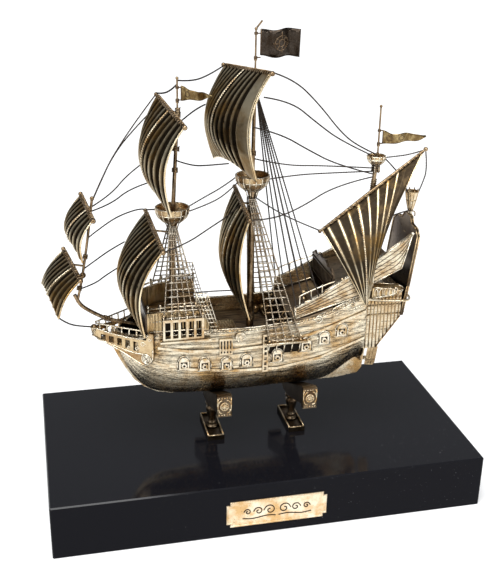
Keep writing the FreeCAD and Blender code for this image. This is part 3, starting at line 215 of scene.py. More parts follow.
def silver(name, bright, warm, dark, scale=60.0, toning=0.5, polish=0.2, reach=0.004, bump=0.25,
           grain=None):
    """One silver finish: the tarnish, with a drawn grain along one direction if wanted."""
    material, tree, shader = new_material(name, 1.0)
    recess = add(tree, "Attribute", attribute_name="recess").outputs["Fac"]
    marks = add(tree, "Group", node_tree=tarnish)
    for label, value in (("Bright", bright), ("Warm", warm), ("Dark", dark)):
        marks.inputs[label].default_value = (*value, 1)
    for label, value in (("Scale", scale), ("Toning", toning), ("Polish", polish), ("Reach", reach)):
        marks.inputs[label].default_value = value
    tree.links.new(recess, marks.inputs["Recess"])
    height = marks.outputs["Height"]
    color = marks.outputs["Color"]
    if grain:
        place = add(tree, "TexCoord").outputs["Object"]
        along = add(tree, "Mapping", {"Vector": place, "Scale": grain}).outputs[0]
        drawn = add(tree, "TexNoise", {"Vector": along, "Scale": 1.0, "Detail": 4.0}).outputs["Fac"]
        height = maths(tree, "ADD", height, maths(tree, "MULTIPLY", drawn, 2.0))
        lines = spread(tree, drawn, 0.52, 0.66, 0.0, 0.75)
        color = mixed(tree, lines, color, (*dark, 1))
    tree.links.new(color, shader.inputs["Base Color"])
    tree.links.new(marks.outputs["Roughness"], shader.inputs["Roughness"])
    tree.links.new(marks.outputs["Edge"], shader.inputs["Specular Tint"])
    lift = add(tree, "Bump", {"Strength": bump, "Distance": 0.0004, "Height": height})
    tree.links.new(lift.outputs[0], shader.inputs["Normal"])
    return material


MM = 0.001
BRIGHT = (0.76, 0.67, 0.50)
GOLD = (0.44, 0.27, 0.11)
UMBER = (0.035, 0.027, 0.020)
cast_silver = silver("cast_silver", BRIGHT, GOLD, UMBER, scale=70, toning=0.45)
plate_silver = silver("plate_silver", (0.88, 0.78, 0.60), (0.66, 0.43, 0.20), (0.10, 0.06, 0.03),
                      scale=85, toning=0.55, polish=0.30, reach=0.0022)


def piece(name, shape, finish, body="ship", stands_for=(), slot="tarnished_silver", smooth=True):
    """Hands a finished shape to the model: a bmesh or a mesh, with its finish and its body."""
    mesh = shape
    if isinstance(shape, bmesh.types.BMesh):
        mesh = bpy.data.meshes.new(name)
        shape.to_mesh(mesh)
        shape.free()
    mesh.materials.clear()
    mesh.materials.append(finish)
    if smooth:
        mesh.shade_smooth()
    made = bpy.data.objects.new(name, mesh)
    scene.collection.objects.link(made)
    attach(made, body)
    if stands_for:
        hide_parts(*stands_for)
    return made


def sheet(columns, rows, lay, outward):
    """A grid laid by a rule that gives each point its place and its darkness: oxide in hollows and seams and,
    on some sheets, painted shade.
    """
    bm = bmesh.new()
    bmesh.ops.create_grid(bm, x_segments=columns, y_segments=rows, size=0.5)
    recess = bm.verts.layers.float.new("recess")
    for vert in bm.verts:
        spot, deep = lay(round((vert.co.x + 0.5) * columns), round((vert.co.y + 0.5) * rows))
        vert.co = Vector(spot) * MM
        vert[recess] = deep
    bm.normal_update()
    facing = sum((face.normal * face.calc_area() for face in bm.faces), Vector())
    if facing.dot(Vector(outward)) < 0:
        bmesh.ops.reverse_faces(bm, faces=bm.faces)
    return bm


def thicken(made, thickness, offset):
    wall = made.modifiers.new("wall", "SOLIDIFY")
    wall.thickness = thickness * MM
    wall.offset = offset
    wall.use_even_offset = False
    return made


STRAND_WIDE, STRAND_THICK = 1.1, 0.62
TWIST_STEP = 0.13


def drawn_wire(name, routes, radius, finish, turn=None, resolution=6, **hand_over):
    """Round wire, or two strands twisted once every turn, through each route's points."""
    line = bpy.data.curves.new(name, "CURVE")
    line.dimensions = "3D"
    line.use_fill_caps = True
    profile = None
    if turn:
        ring = bpy.data.curves.new("twist", "CURVE")
        loop = ring.splines.new("POLY")
        loop.points.add(5)
        loop.use_cyclic_u = True
        for index, point in enumerate(loop.points):
            angle = index * math.pi / 3
            point.co = (math.cos(angle) * STRAND_WIDE, math.sin(angle) * STRAND_THICK, 0, 1)
        profile = bpy.data.objects.new("twist", ring)
        scene.collection.objects.link(profile)
        line.bevel_mode = "OBJECT"
        line.bevel_object = profile
    else:
        line.bevel_depth = MM
        line.bevel_resolution = 1
    for route in routes:
        spline = line.splines.new("NURBS")
        spline.points.add(len(route) - 1)
        run = 0.0
        before = Vector(route[0])
        for point, spot in zip(spline.points, route):
            run += (Vector(spot) - before).length
            before = Vector(spot)
            point.co = (*(before * MM), 1)
            point.radius = radius * (MM if turn else 1.0)
            point.tilt = run / turn * 2 * math.pi if turn else 0.0
        spline.order_u = min(3, len(route))
        spline.use_endpoint_u = True
        steps = run / (turn * TWIST_STEP) / (len(route) - 1) if turn else resolution
        spline.resolution_u = max(2, math.ceil(steps))
    holder = bpy.data.objects.new(name, line)
    scene.collection.objects.link(holder)
    bpy.context.view_layer.update()
    seen = holder.evaluated_get(bpy.context.evaluated_depsgraph_get())
    mesh = bpy.data.meshes.new_from_object(seen)
    bpy.data.objects.remove(holder)
    if profile:
        bpy.data.objects.remove(profile)
    bm = bmesh.new()
    bm.from_mesh(mesh)
    bpy.data.meshes.remove(mesh)
    bmesh.ops.remove_doubles(bm, verts=bm.verts, dist=1e-7)
    bmesh.ops.recalc_face_normals(bm, faces=bm.faces)
    return piece(name, bm, finish, **hand_over)


plate_low, plate_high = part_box("nameplate")
plate_low, plate_high = Vector(plate_low) / MM, Vector(plate_high) / MM
NOTCH = 2.5
SIDES = (-1, 1)


def plate_outline(inset):
    """The plate's corners, each cut by a small square notch."""
    left, right = plate_low.x + inset, plate_high.x - inset
    low, high = plate_low.z + inset, plate_high.z - inset
    far_left, far_right, lower, upper = left + NOTCH, right - NOTCH, low + NOTCH, high - NOTCH
    return [(far_left, low), (far_right, low), (far_right, lower), (right, lower),
            (right, upper), (far_right, upper), (far_right, high), (far_left, high),
            (far_left, upper), (left, upper), (left, lower), (far_left, lower)]


def sides_of(outline):
    """The two ends of each side of a closed outline."""
    return zip(outline, outline[1:] + outline[:1])


def block(bm, outline, near, far):
    """A slab of one upright outline between two levels across the ship, added to the mesh."""
    face = bm.faces.new([bm.verts.new(Vector((x, near, z)) * MM) for x, z in outline])
    grown = bmesh.ops.extrude_face_region(bm, geom=[face])["geom"]
    moved = [item for item in grown if isinstance(item, bmesh.types.BMVert)]
    bmesh.ops.translate(bm, verts=moved, vec=Vector((0, far - near, 0)) * MM)
    bmesh.ops.recalc_face_normals(bm, faces=bm.faces)


bm = bmesh.new()
block(bm, plate_outline(0.0), plate_high.y, plate_low.y + 0.5)
front = min(bm.faces, key=lambda face: face.calc_center_median().y)
for inset, lift in ((0.5, 0.0), (0.35, 0.4), (0.8, 0.0), (0.35, -0.45)):
    bmesh.ops.inset_region(bm, faces=[front], thickness=inset * MM, depth=lift * MM)
engraved = piece("engraved_plate", bm, plate_silver, stands_for=["nameplate"], smooth=False)
round_over = engraved.modifiers.new("round_over", "BEVEL")
round_over.width = 0.12 * MM
round_over.segments = 2
scroll_silver = silver("scroll_silver", (0.030, 0.020, 0.014), (0.06, 0.035, 0.02), (0.01, 0.008, 0.006),
                       scale=200, polish=0.45)
plate_mid = (plate_low + plate_high) / 2
scroll_y = plate_low.y + 0.5
scroll = []
for side in SIDES:
    for curl, size in ((5.0, 4.4), (13.0, 3.4), (20.5, 2.6)):
        scroll.append([(plate_mid.x + side * (curl + size * (1 - turn / 16) * math.cos(turn * 0.62)),
                        scroll_y, plate_mid.z + 0.9 + size * (1 - turn / 16) * math.sin(turn * 0.62))
                       for turn in range(14)])
    scroll.append([(plate_mid.x + side * (1 + 4.6 * step), scroll_y,
                    plate_mid.z - 4.0 + 0.8 * math.sin(step * 1.3)) for step in range(6)])
drawn_wire("plate_scroll", scroll, 0.36, scroll_silver)
plate_cord = [[(x, plate_low.y + 0.45, z) for x, z in run] for run in sides_of(plate_outline(0.55))]
drawn_wire("plate_cord", plate_cord, 0.42, plate_silver, turn=2.2)

# The stands: two cast feet like shallow trays, a turned column on each, and a yoke whose end blocks carry a
# chased rosette, all in a dark finish that paints the shade they stand in. A steel rod runs up through all.
# The stand's dark finish is painted shade: the columns stand in shadow.
stand_shade_silver = silver("stand_shade_silver", (0.15, 0.115, 0.075), (0.07, 0.042, 0.022), (0.010, 0.007, 0.005),
                      scale=120, toning=0.6, polish=0.24)
block_silver = silver("block_silver", (0.80, 0.68, 0.47), (0.44, 0.26, 0.10), (0.035, 0.022, 0.014),
                      scale=260, toning=0.55, polish=0.2, reach=0.0016)
steel = silver("plain_steel", (0.55, 0.55, 0.57), (0.40, 0.40, 0.42), (0.10, 0.10, 0.10),
               scale=200, toning=0.3, polish=0.3)
dress(stand_shade_silver, "stand_feet", "stand_yokes")
dress(steel, "stand_rods", "stand_nuts", "stand_washers")


def turned_shape(profile, centre, sides=28):
    """A shape of revolution about an upright axis, from radius and height pairs."""
    bm = bmesh.new()
    line = [bm.verts.new((radius * MM, 0, level * MM)) for radius, level in profile]
    edges = [bm.edges.new(pair) for pair in zip(line, line[1:])]
    bmesh.ops.spin(bm, geom=line + edges, cent=(0, 0, 0), axis=(0, 0, 1), angle=2 * math.pi,
                   steps=sides, use_merge=True)
    bmesh.ops.remove_doubles(bm, verts=bm.verts, dist=1e-7)
    bmesh.ops.recalc_face_normals(bm, faces=bm.faces)
    bmesh.ops.translate(bm, verts=bm.verts, vec=Vector(centre) * MM)
    return bm


def gathered(bmeshes):
    """Several meshes as one."""
    whole = bmesh.new()
    for part in bmeshes:
        mesh = bpy.data.meshes.new("part")
        part.to_mesh(mesh)
        part.free()
        whole.from_mesh(mesh)
        bpy.data.meshes.remove(mesh)
    return whole


def beads(name, spots, radius, finish):
    """A row of small raised beads."""
    bm = bmesh.new()
    for spot in spots:
        bmesh.ops.create_icosphere(bm, subdivisions=1, radius=radius * MM,
                                   matrix=Matrix.Translation(Vector(spot) * MM))
    return piece(name, bm, finish)


STAND_X = 30.0
ROD_WAY = 1.7
CORNERS = ((-1, -1), (1, -1), (1, 1), (-1, 1))
column_low, column_high = [corner.z / MM for corner in map(Vector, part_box("stand_columns"))]
tall = column_high - column_low
column_profile = [(ROD_WAY, 0), (4.4, 0), (4.6, 0.8), (4.2, 1.6), (3.1, 2.2), (3.0, 3.0),
                  (3.6, 3.8), (3.0, 4.6), (2.5, 5.6), (2.6, 7.5), (3.4, 10.5), (4.1, 13.5),
                  (4.4, 15.6), (4.1, 16.8), (3.3, 17.4), (3.2, 18.2), (4.6, 18.8), (4.9, 19.6),
                  (4.7, 20.4), (3.7, 20.9), (3.9, 21.6), (4.8, 22.2), (4.9, tall), (ROD_WAY, tall)]
columns = [turned_shape(column_profile + column_profile[:1], (side * STAND_X, 0, column_low))
           for side in SIDES]
piece("turned_columns", gathered(columns), stand_shade_silver, stands_for=["stand_columns"])
feet_high = Vector(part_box("stand_feet")[1]) / MM
rim_x, rim_y = feet_high.x - STAND_X - 0.6, feet_high.y - 0.6
foot_rims = [[(side * STAND_X + across * rim_x, along * rim_y, feet_high.z) for across, along in run]
             for side in SIDES for run in sides_of(CORNERS)]
drawn_wire("foot_rims", foot_rims, 0.55, block_silver, resolution=2)
yoke_y = (Vector(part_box("stand_yokes")[1]) / MM).y
ROSETTE = 2.9
PANEL_HALF, PANEL_LOW, PANEL_MIDDLE, PANEL_HIGH = 4.5, 74.3, 81.2, 88.0
panels, rosettes, studs = bmesh.new(), [], []
for side in SIDES:
    for face in SIDES:
        middle = Vector((side * STAND_X, face * (yoke_y - 0.1), PANEL_MIDDLE))
        left, right = middle.x - PANEL_HALF, middle.x + PANEL_HALF
        block(panels, [(left, PANEL_LOW), (right, PANEL_LOW), (right, PANEL_HIGH), (left, PANEL_HIGH)],
              face * (yoke_y - 0.6), face * (yoke_y + 0.12))
        for petal in range(8):
            angle = petal * math.pi / 4
            tip = middle + Vector((math.cos(angle), 0, math.sin(angle))) * 2.2
            rosettes.append([middle, (middle + tip) / 2 + Vector((0, face * 0.3, 0)), tip])
        ring = [Vector((math.cos(step * 0.7), face * 0.005, math.sin(step * 0.7))) for step in range(10)]
        rosettes.append([middle + spoke * ROSETTE for spoke in ring])
        for across, up in CORNERS:
            rosettes.append([middle + Vector((across * 4.1, 0, up * 2.0)),
                             middle + Vector((across * 3.9, face * 0.3, up * 4.6)),
                             middle + Vector((across * 1.6, 0, up * 4.9))])
        rosettes += [[middle + Vector((across * 4.6, 0, up)) for up in (-6.6, 6.6)] for across in SIDES]
        studs += [middle + Vector((across, 0, up)) for up in (-6.4, 6.4)
                  for across in (-3.6, -1.8, 0.0, 1.8, 3.6)]
piece("yoke_panels", panels, stand_shade_silver, smooth=False)
drawn_wire("yoke_rosettes", rosettes, 0.5, block_silver, resolution=3)
beads("yoke_studs", studs, 0.62, block_silver)

# The hull: sheet silver raised in two halves and chased with planks from the keel
# to the rail, with two wales, a rail, and keel, stem and sternpost soldered on.
hull_silver = silver("hull_silver", BRIGHT, (0.50, 0.32, 0.14), UMBER, scale=38, toning=0.5,
                     polish=0.17, reach=0.003, grain=(60, 900, 1500), bump=0.35)
dress(hull_silver, "hull_shell", "stern_counter")
dress(cast_silver, "keel", "wales")


def felt(name):
    """A CAD piece's surface, to be felt with rays."""
    mesh = nodes[name].data
    return BVHTree.FromPolygons([vert.co for vert in mesh.vertices],
                                [poly.vertices for poly in mesh.polygons])


hull_tree = felt("hull_shell")
HULL_CORE = 118.0
HULL_ENDS = (-96.4, 74.9)
STRAKES = 13
HULL_ROWS = 72
SMOOTH_SHARE = 0.42
PLANK_STEPS = (0.0, 0.10, 0.5, 0.90)
PLANK_PROUD = 0.34
LEAF = 0.5
RAY_LONG = 0.09


def hull_skin(x, angle):
    """A point on the hull's outside, found from inside it: the angle runs from the keel."""
    outward = Vector((0, math.sin(angle), -math.cos(angle)))
    core = Vector((x * MM, 0, HULL_CORE * MM))
    hit = hull_tree.ray_cast(core + outward * RAY_LONG, -outward, RAY_LONG)
    if hit[0] is None:
        return None, None
    return hit[0] / MM, hit[1]


def rail_angle(x):
    """The angle at which the hull's side ends, found by halving."""
    low, high = math.radians(60), math.radians(150)
    for _ in range(18):
        middle = (low + high) / 2
        if hull_skin(x, middle)[0] is None:
            high = middle
        else:
            low = middle
    return low


hull_places = [HULL_ENDS[0] + (HULL_ENDS[1] - HULL_ENDS[0]) * row / HULL_ROWS
               for row in range(HULL_ROWS + 1)]
rail_angles = [rail_angle(x) for x in hull_places]


def lay_plank(column, row):
    step = column - STRAKES * 4
    strake, corner = divmod(abs(step), 4)
    share = (strake + PLANK_STEPS[corner]) / STRAKES
    angle = math.copysign(rail_angles[row] * share ** 0.9, step)
    for nudge, ease in ((0.0, 1.0), (0.0, 0.98), (3.5, 1.0), (-3.5, 1.0), (3.5, 0.9)):
        spot, out = hull_skin(hull_places[row] + nudge, angle * ease)
        if spot is not None:
            break
    chased = min(1.0, max(0.25, (share - SMOOTH_SHARE) / 0.2))
    proud = PLANK_PROUD if corner == 2 else PLANK_PROUD - 0.06 * chased
    if corner == 0:
        proud = PLANK_PROUD * (1 - chased)
    return spot + out * proud, 0.55 * chased if corner == 0 else 0.0


planks = piece("hull_planking", sheet(STRAKES * 8, HULL_ROWS, lay_plank, (0, 0, -1)), hull_silver)
thicken(planks, LEAF, -1.0)

# The rail along the hull's edge: half-round wire with a row of beads under it, both
# soldered to the raised edge of the hull so that they cover its join with the deck.
gilt_silver = silver("gilt_silver", (0.60, 0.46, 0.27), (0.30, 0.18, 0.08), UMBER, scale=90,
                     toning=0.55, polish=0.22, reach=0.003, bump=0.4)
rim_silver = silver("rim_silver", (0.84, 0.77, 0.62), (0.48, 0.32, 0.15), UMBER, scale=150,
                    toning=0.35, polish=0.16, reach=0.002)


def on_hull(row, side, share, proud=0.0):
    """A place on the hull's side, at a share of the way from the keel to the rail."""
    spot, out = hull_skin(hull_places[row], side * rail_angles[row] * share)
    return spot + out * proud


def mirrored(routes):
    """Each route and its twin on the other side of the ship."""
    return [[Vector((x, side * y, z)) for x, y, z in route] for route in routes for side in SIDES]


def both_sides(spots):
    """Each place and its twin on the other side of the ship."""
    return [(x, side * y, z) for x, y, z in spots for side in SIDES]


gunwale = [[on_hull(row, side, 0.999, 0.0) for row in range(2, HULL_ROWS + 1, 2)] for side in SIDES]
drawn_wire("gunwale", gunwale, 0.85, rim_silver, resolution=2)
drawn_wire("rail_moulding", [[on_hull(row, side, 0.965, 0.5) for row in range(4, HULL_ROWS + 1, 2)]
                             for side in SIDES], 0.4, rim_silver, resolution=2)
beads("rail_beads", [on_hull(row, side, 0.982, 0.5) for row in range(6, HULL_ROWS) for side in SIDES],
      0.55, cast_silver)

# The guns: short cannon in arched ports, each port a raised surround soldered to
# the side, with a hood over it and a moulded ring round each muzzle. Three small
# round ports under the poop have a ring of wire and no gun.
port_silver = silver("port_silver", (0.84, 0.77, 0.62), (0.44, 0.29, 0.13), UMBER, scale=190,
                     toning=0.5, polish=0.16, reach=0.0045)
dress(port_silver, "gun_port_frames", "guns")
GUN_PORTS = [(-55, 109), (-41, 107.5), (-26, 106.5), (-12, 108), (9.5, 109.5), (30, 115.5), (43, 119),
             (56, 123.5)]


def half_breadth(x, z, skin=hull_tree):
    """The half-breadth at a place and level, felt from outside; None where there is nothing."""
    hit = skin.ray_cast(Vector((x, -80, z)) * MM, Vector((0, 1, 0)))[0]
    return -hit.y / MM if hit else None


def round_spot(step, steps, radius):
    """A point on a level circle about the origin."""
    return Vector((math.cos(step * 2 * math.pi / steps), math.sin(step * 2 * math.pi / steps), 0)) * radius


def hoop(centre, radius, axis, steps=10):
    """Points round a circle about any axis, closed on itself."""
    lean = Vector((0, 0, 1)).rotation_difference(Vector(axis))
    return [Vector(centre) + lean @ round_spot(step, steps, radius) for step in range(steps + 1)]


hoods, muzzles = [], []
for x, z in GUN_PORTS:
    out = half_breadth(x, z)
    muzzles += [hoop((x, out + proud, z - 1.5), radius, (0, 1, 0))
                for proud, radius in ((2.2, 1.75), (1.2, 1.85))]
    hoods.append([(x + 4.1 * math.cos(angle), out + 0.8, z + 1.1 + 4.1 * math.sin(angle))
                  for angle in [step * math.pi / 6 for step in range(7)]])
    hoods += [[(x + off, out + 0.5, z + 1.1), (x + off, out + 0.5, z - 5.4)] for off in (-4.3, 4.3)]
    hoods.append([(x - 5.0, out + 0.6, z - 5.2), (x + 5.0, out + 0.6, z - 5.2)])
ROUND_PORTS = [(39.0, 133.0), (50.9, 137.5), (62.8, 141.5)]
for x, z in ROUND_PORTS:
    out = half_breadth(x, z)
    if out:
        hoods.append(hoop((x, out + 0.4, z), 2.5, (0, 1, 0), 12))
        muzzles.append(hoop((x, out + 0.3, z), 1.2, (0, 1, 0)))
drawn_wire("port_hoods", mirrored(hoods), 0.42, rim_silver, resolution=2)
drawn_wire("muzzle_rings", mirrored(muzzles), 0.3, port_silver, resolution=2)

# Channels, fence, rack and shield on each side: cast strips soldered on, with deadeyes where the shrouds come
# down, and behind the open bars a dark sheet that paints the shade there.
dress(cast_silver, "side_fittings", "stern_rail", "rudder_gudgeons")
# The seam and shade finish: dark joints in the poop panels' seams, and painted shade on the sheets behind the
# channel bars, the bulkheads, their arches and the hawse holes; the transom takes it too.
seam_and_shade_silver = silver("seam_and_shade_silver", (0.12, 0.09, 0.06), (0.07, 0.045, 0.028), (0.008, 0.007, 0.006),
                     scale=70, toning=0.6, polish=0.25)
wall_tree = felt("forecastle_bulwark")
spindles, deadeyes = [], []
for index in range(6):
    x = -68.3 + 5.2 * index
    spindles += [[(x, 31.7, 127.2), (x, 31.7, 145.0)]]
    deadeyes.append((x, 31.7, 145.4))
for index in range(5):
    x = 3.0 + 5.5 * index
    deadeyes += [(x, 33.4, 121.4), (x, 33.4, 124.4)]
    spindles.append([(x, 33.4, 119.0), (x * 0.98, half_breadth(x, 110) + 0.6, 110.0)])
spindles += [[(-69.4, 31.7, 128.2), (-41.2, 31.7, 128.2)], [(-69.4, 31.7, 142.0), (-41.2, 31.7, 142.0)],
             [(-69.4, 31.9, 134.6), (-41.2, 31.9, 134.6)], [(0, 34.2, 119.6), (30, 34.2, 119.6)]]
SHIELD = Vector((-16.5, 31.4, 125.6))
spindles += [hoop(SHIELD, radius, (0, 1, 0), steps) for radius, steps in ((3.2, 14), (1.6, 10))]
spindles += [[SHIELD + Vector((math.cos(angle), 0, math.sin(angle))) * radius for radius in (1.6, 3.2)]
             for angle in [step * math.pi / 4 for step in range(8)]]
SHADE_SHEET_COLUMNS, SHADE_SHEET_ROWS = 12, 6
OPEN_BREADTH = 27.0
shade_sheets = []
for side in SIDES:
    for left, right, low, high, skins in ((1.0, 27.5, 111.0, 118.6, (hull_tree,)),
                                          (-68.8, -41.6, 128.8, 141.6, (hull_tree, wall_tree))):
        def lay_shade_sheet(column, row):
            x = left + (right - left) * column / SHADE_SHEET_COLUMNS
            z = low + (high - low) * row / SHADE_SHEET_ROWS
            breadth = max(half_breadth(x, z, skin) or OPEN_BREADTH for skin in skins)
            # Painted shade: the sheet lies on the side behind the bars and is darkened almost fully.
            return (x, side * (breadth + 0.35), z), 0.9

        shade_sheets.append(sheet(SHADE_SHEET_COLUMNS, SHADE_SHEET_ROWS, lay_shade_sheet, (0, side, 0)))
thicken(piece("channel_shade_sheets", gathered(shade_sheets), seam_and_shade_silver), 0.3, -1.0)
drawn_wire("fence_spindles", mirrored(spindles), 0.4, rim_silver, resolution=2)
beads("deadeyes", both_sides(deadeyes), 1.0, cast_silver)

# Decks: planked silver plates, with a grating over the hatch, a capstan aft and
# steps up from the waist. The planks are darkened between.
deck_silver = silver("deck_silver", (0.30, 0.23, 0.15), (0.18, 0.12, 0.07), UMBER, scale=50,
                     toning=0.6, polish=0.3, grain=(40, 700, 700))
dress(deck_silver, "main_deck", "forecastle_deck", "quarterdeck", "poop_decks")
# The bulkheads take the dark finish as painted shade on their faces; the transom takes it too.
dress(seam_and_shade_silver, "bulkheads", "transom")
DECK = 119.4
seams = [[(-36.5, y, DECK - 0.15), (19.0, y, DECK - 0.15)] for y in range(-24, 25, 4)]
grating = [[(-30.0, y, DECK + 1.3), (-14.0, y, DECK + 1.3)] for y in range(-8, 9, 2)]
grating += [[(x, -8.6, DECK + 1.3), (x, 8.6, DECK + 1.3)] for x in range(-30, -13, 2)]
steps = [[(16.8 - 1.6 * rise, y + across, DECK + 12.0 - 2.4 * rise) for across in (0.0, 7.0)]
         for rise in range(5) for y in (-20.0, 13.0)]
strings = [[(18.4, y, DECK + 14.0), (9.6, y, DECK + 0.4)] for y in (-20.4, -12.6, 12.6, 20.4)]
drawn_wire("deck_seams", seams, 0.28, deck_silver)
drawn_wire("hatch_grating", grating + steps + strings, 0.55, gilt_silver)
capstan = [(0, 0), (3.0, 0), (3.0, 0.8), (1.9, 1.4), (1.6, 4.0), (2.6, 4.8), (2.8, 6.0), (1.2, 6.8),
           (0, 7.0)]
casks = [turned_shape(capstan, (36.0, 0, 136.6), 14)]
cask = [(0, 0), (1.9, 0), (2.4, 1.6), (2.5, 2.6), (2.4, 3.6), (1.9, 5.2), (0, 5.2)]
casks += [turned_shape(cask, (x, y, DECK), 12)
          for x, y in ((6.0, 21.0), (11.5, 22.0), (-33.0, -21.0), (-33.6, 20.0))]
piece("capstan_and_casks", gathered(casks), gilt_silver)

# The forecastle: gilt walls of upright staves under a moulded cap, with a post
# and ball at each stave group, and the bulkheads' arched doors behind.
castle_silver = silver("castle_silver", (0.80, 0.62, 0.36), (0.46, 0.29, 0.12), UMBER, scale=70, toning=0.5,
                       polish=0.3, reach=0.003, grain=(700, 700, 40), bump=0.4)
dress(castle_silver, "forecastle_bulwark", "quarter_galleries")


def rail_at(x, out=0.0, up=0.0):
    """A place beside the rail on the starboard side."""
    angle = rail_angle(x)
    spot = hull_skin(x, angle)[0]
    return Vector((x, spot.y + out, spot.z + up))


staves, caps, posts = [], [], []
for index in range(20):
    x = -77.0 + 2.0 * index
    low = rail_at(x)
    levels = [(level, half_breadth(x, low.z + level, wall_tree)) for level in (2.2, 8.0, 14.2)]
    staves.append([(x, half + 0.2, low.z + level) for level, half in levels if half])
staves = [stave for stave in staves if len(stave) > 1]
for up, out in ((15.3, -0.3), (1.8, 0.6), (9.0, 0.6)):
    caps.append([rail_at(x, out, up) for x in (-77.5, -70, -64, -58, -52, -46, -38.5)])
for x in (-77.2, -69.5, -61.8, -54.0, -46.2, -38.6):
    caps.append([rail_at(x, -0.4, 14.0), rail_at(x, -0.4, 19.0)])
    posts.append(rail_at(x, -0.4, 19.6))
caps.append([rail_at(x, -0.4, 18.0) for x in (-77.2, -70, -64, -58, -52, -46, -38.6)])
drawn_wire("forecastle_staves", mirrored(staves), 0.5, castle_silver)
ladder = []
for share in (0.0, 0.33, 0.67, 1.0):
    ladder.append([(-46.4 + 7.6 * share, 29.0, 158.6), (-36.0 + 4.8 * share, 30.6, 131.6)])
for rung in range(10):
    drop = rung / 9
    ladder.append([(-46.4 + 10.4 * drop, 29.0 + 1.6 * drop, 158.6 - 27.0 * drop),
                   (-38.8 + 7.6 * drop, 29.0 + 1.6 * drop, 158.6 - 27.0 * drop)])
ladder += [[(-46.4, 29.0, 158.6), (-46.2, 28.6, 148.0)], [(-38.8, 29.0, 158.6), (-38.9, 28.6, 148.0)]]
drawn_wire("waist_ladders", mirrored(ladder), 0.3, rim_silver, resolution=2)
drawn_wire("forecastle_caps", mirrored(caps), 0.62, rim_silver, resolution=2)
beads("forecastle_balls", both_sides(posts), 1.15, rim_silver)
arches = []
for x, half, low, high in ((-39.4, 24, 120.2, 130), (18.6, 23, 120.2, 131.2)):
    for y in (-18, -11, 11, 18):
        arches.append([(x, y - 2.4, low), (x, y - 2.4, high - 3.4), (x, y, high - 1.0),
                       (x, y + 2.4, high - 3.4), (x, y + 2.4, low)])
    arches.append([(x, -half, high), (x, half, high)])
front = [(-24.4, 162.0), (-19.0, 166.0), (-13.0, 163.5), (-7.0, 168.0), (0.0, 165.5), (7.0, 168.0),
         (13.0, 163.5), (19.0, 166.0), (24.4, 162.0)]
arches.append([(48.8, y, z) for y, z in front])
for y in range(-21, 22, 3):
    arches.append([(48.7, y, 143.0), (48.7, y, 160.5)])
arches += [[(48.6, -24, z), (48.6, 24, z)] for z in (142.4, 150.0, 160.6)]
# The arches are drawn in the same dark finish, painted shade with the bulkheads.
drawn_wire("bulkhead_arches", arches, 0.5, seam_and_shade_silver, resolution=3)

# The poop: raked side panels of bright planks in a moulded frame, a light rail
# before them, and the openwork strip where panel and hull side meet.
poop_silver = silver("poop_silver", (0.80, 0.71, 0.53), (0.44, 0.28, 0.13), UMBER, scale=60, toning=0.45,
                     polish=0.18, reach=0.003, grain=(80, 80, 1500), bump=0.4)
dress(poop_silver, "poop_bulwarks")
TOE_IN = math.radians(4)
PANEL = [(0, 0.6), (53, 14.2), (55, 20.5), (77, 30.0), (83.5, 54.5), (58, 37.5), (33.5, 25.0), (19, 16.5),
         (0, 8.0)]


def on_panel(along, level, proud=0.0):
    """A place on the outside of the starboard panel."""
    return (22.0 + along * math.cos(TOE_IN) + proud * math.sin(TOE_IN),
            28.4 - along * math.sin(TOE_IN) + proud * math.cos(TOE_IN), 134.3 + level)


edging = [[on_panel(*spot, proud) for spot in run] for proud in (0.1, -1.4) for run in sides_of(PANEL)]
drawn_wire("panel_mouldings", mirrored(edging), 0.6, rim_silver, resolution=2)
FORE_PLANKS = ((1, 0.9, 8.2), (19, 5.6, 16.3), (33.5, 9.3, 24.8), (52, 14.0, 34.5))
AFTER_PLANKS = ((55.5, 20.8, 36.0), (66, 25.4, 42.6), (77, 30.2, 50.0), (81, 44.0, 52.8))
seams = [[on_panel(along, low + (high - low) * share, 0.05) for along, low, high in run]
         for share in (0.2, 0.4, 0.6, 0.8) for run in (FORE_PLANKS, AFTER_PLANKS)]
drawn_wire("panel_seams", mirrored(seams), 0.24, seam_and_shade_silver, resolution=3)
brackets = []
for index in range(9):
    low = 15.4 + 1.6 * index
    brackets.append([on_panel(53.2, low, 0.5), on_panel(55.6, low + 1.4, 0.5)])
    brackets.append([on_panel(55.6, low, 0.5), on_panel(53.2, low + 1.4, 0.5)])
brackets += [[on_panel(along, 14.6, 0.5), on_panel(along, 31.0, 0.5)] for along in (53.0, 55.8)]
for along in (3.0, 11.0, 19.0):
    brackets.append([on_panel(along, 8.0 + along * 0.45, -0.6), on_panel(along, 15.2 + along * 0.42, -0.6)])
brackets.append([on_panel(2.0, 16.0, -0.6), on_panel(12.0, 20.6, -0.6), on_panel(29.0, 25.0, -0.6)])
drawn_wire("poop_trellis", mirrored(brackets), 0.45, rim_silver)
beads("poop_balls", both_sides([on_panel(83.2, 54.6), on_panel(55, 36.0), on_panel(33, 26.0)]), 1.3,
      rim_silver)

# The stern: a raked transom with two rows of framed windows, planked quarters
# below, a small gallery on each quarter and a lantern like a cup above.
dress(cast_silver, "stern_lantern")
dress(gilt_silver, "rudder")
RAKE_SLOPE = math.tan(math.radians(7.0))


def on_transom(y, z, proud):
    """A place on the after face of the transom."""
    return (103.1 + (z - 127.5) * RAKE_SLOPE + proud, y, z)


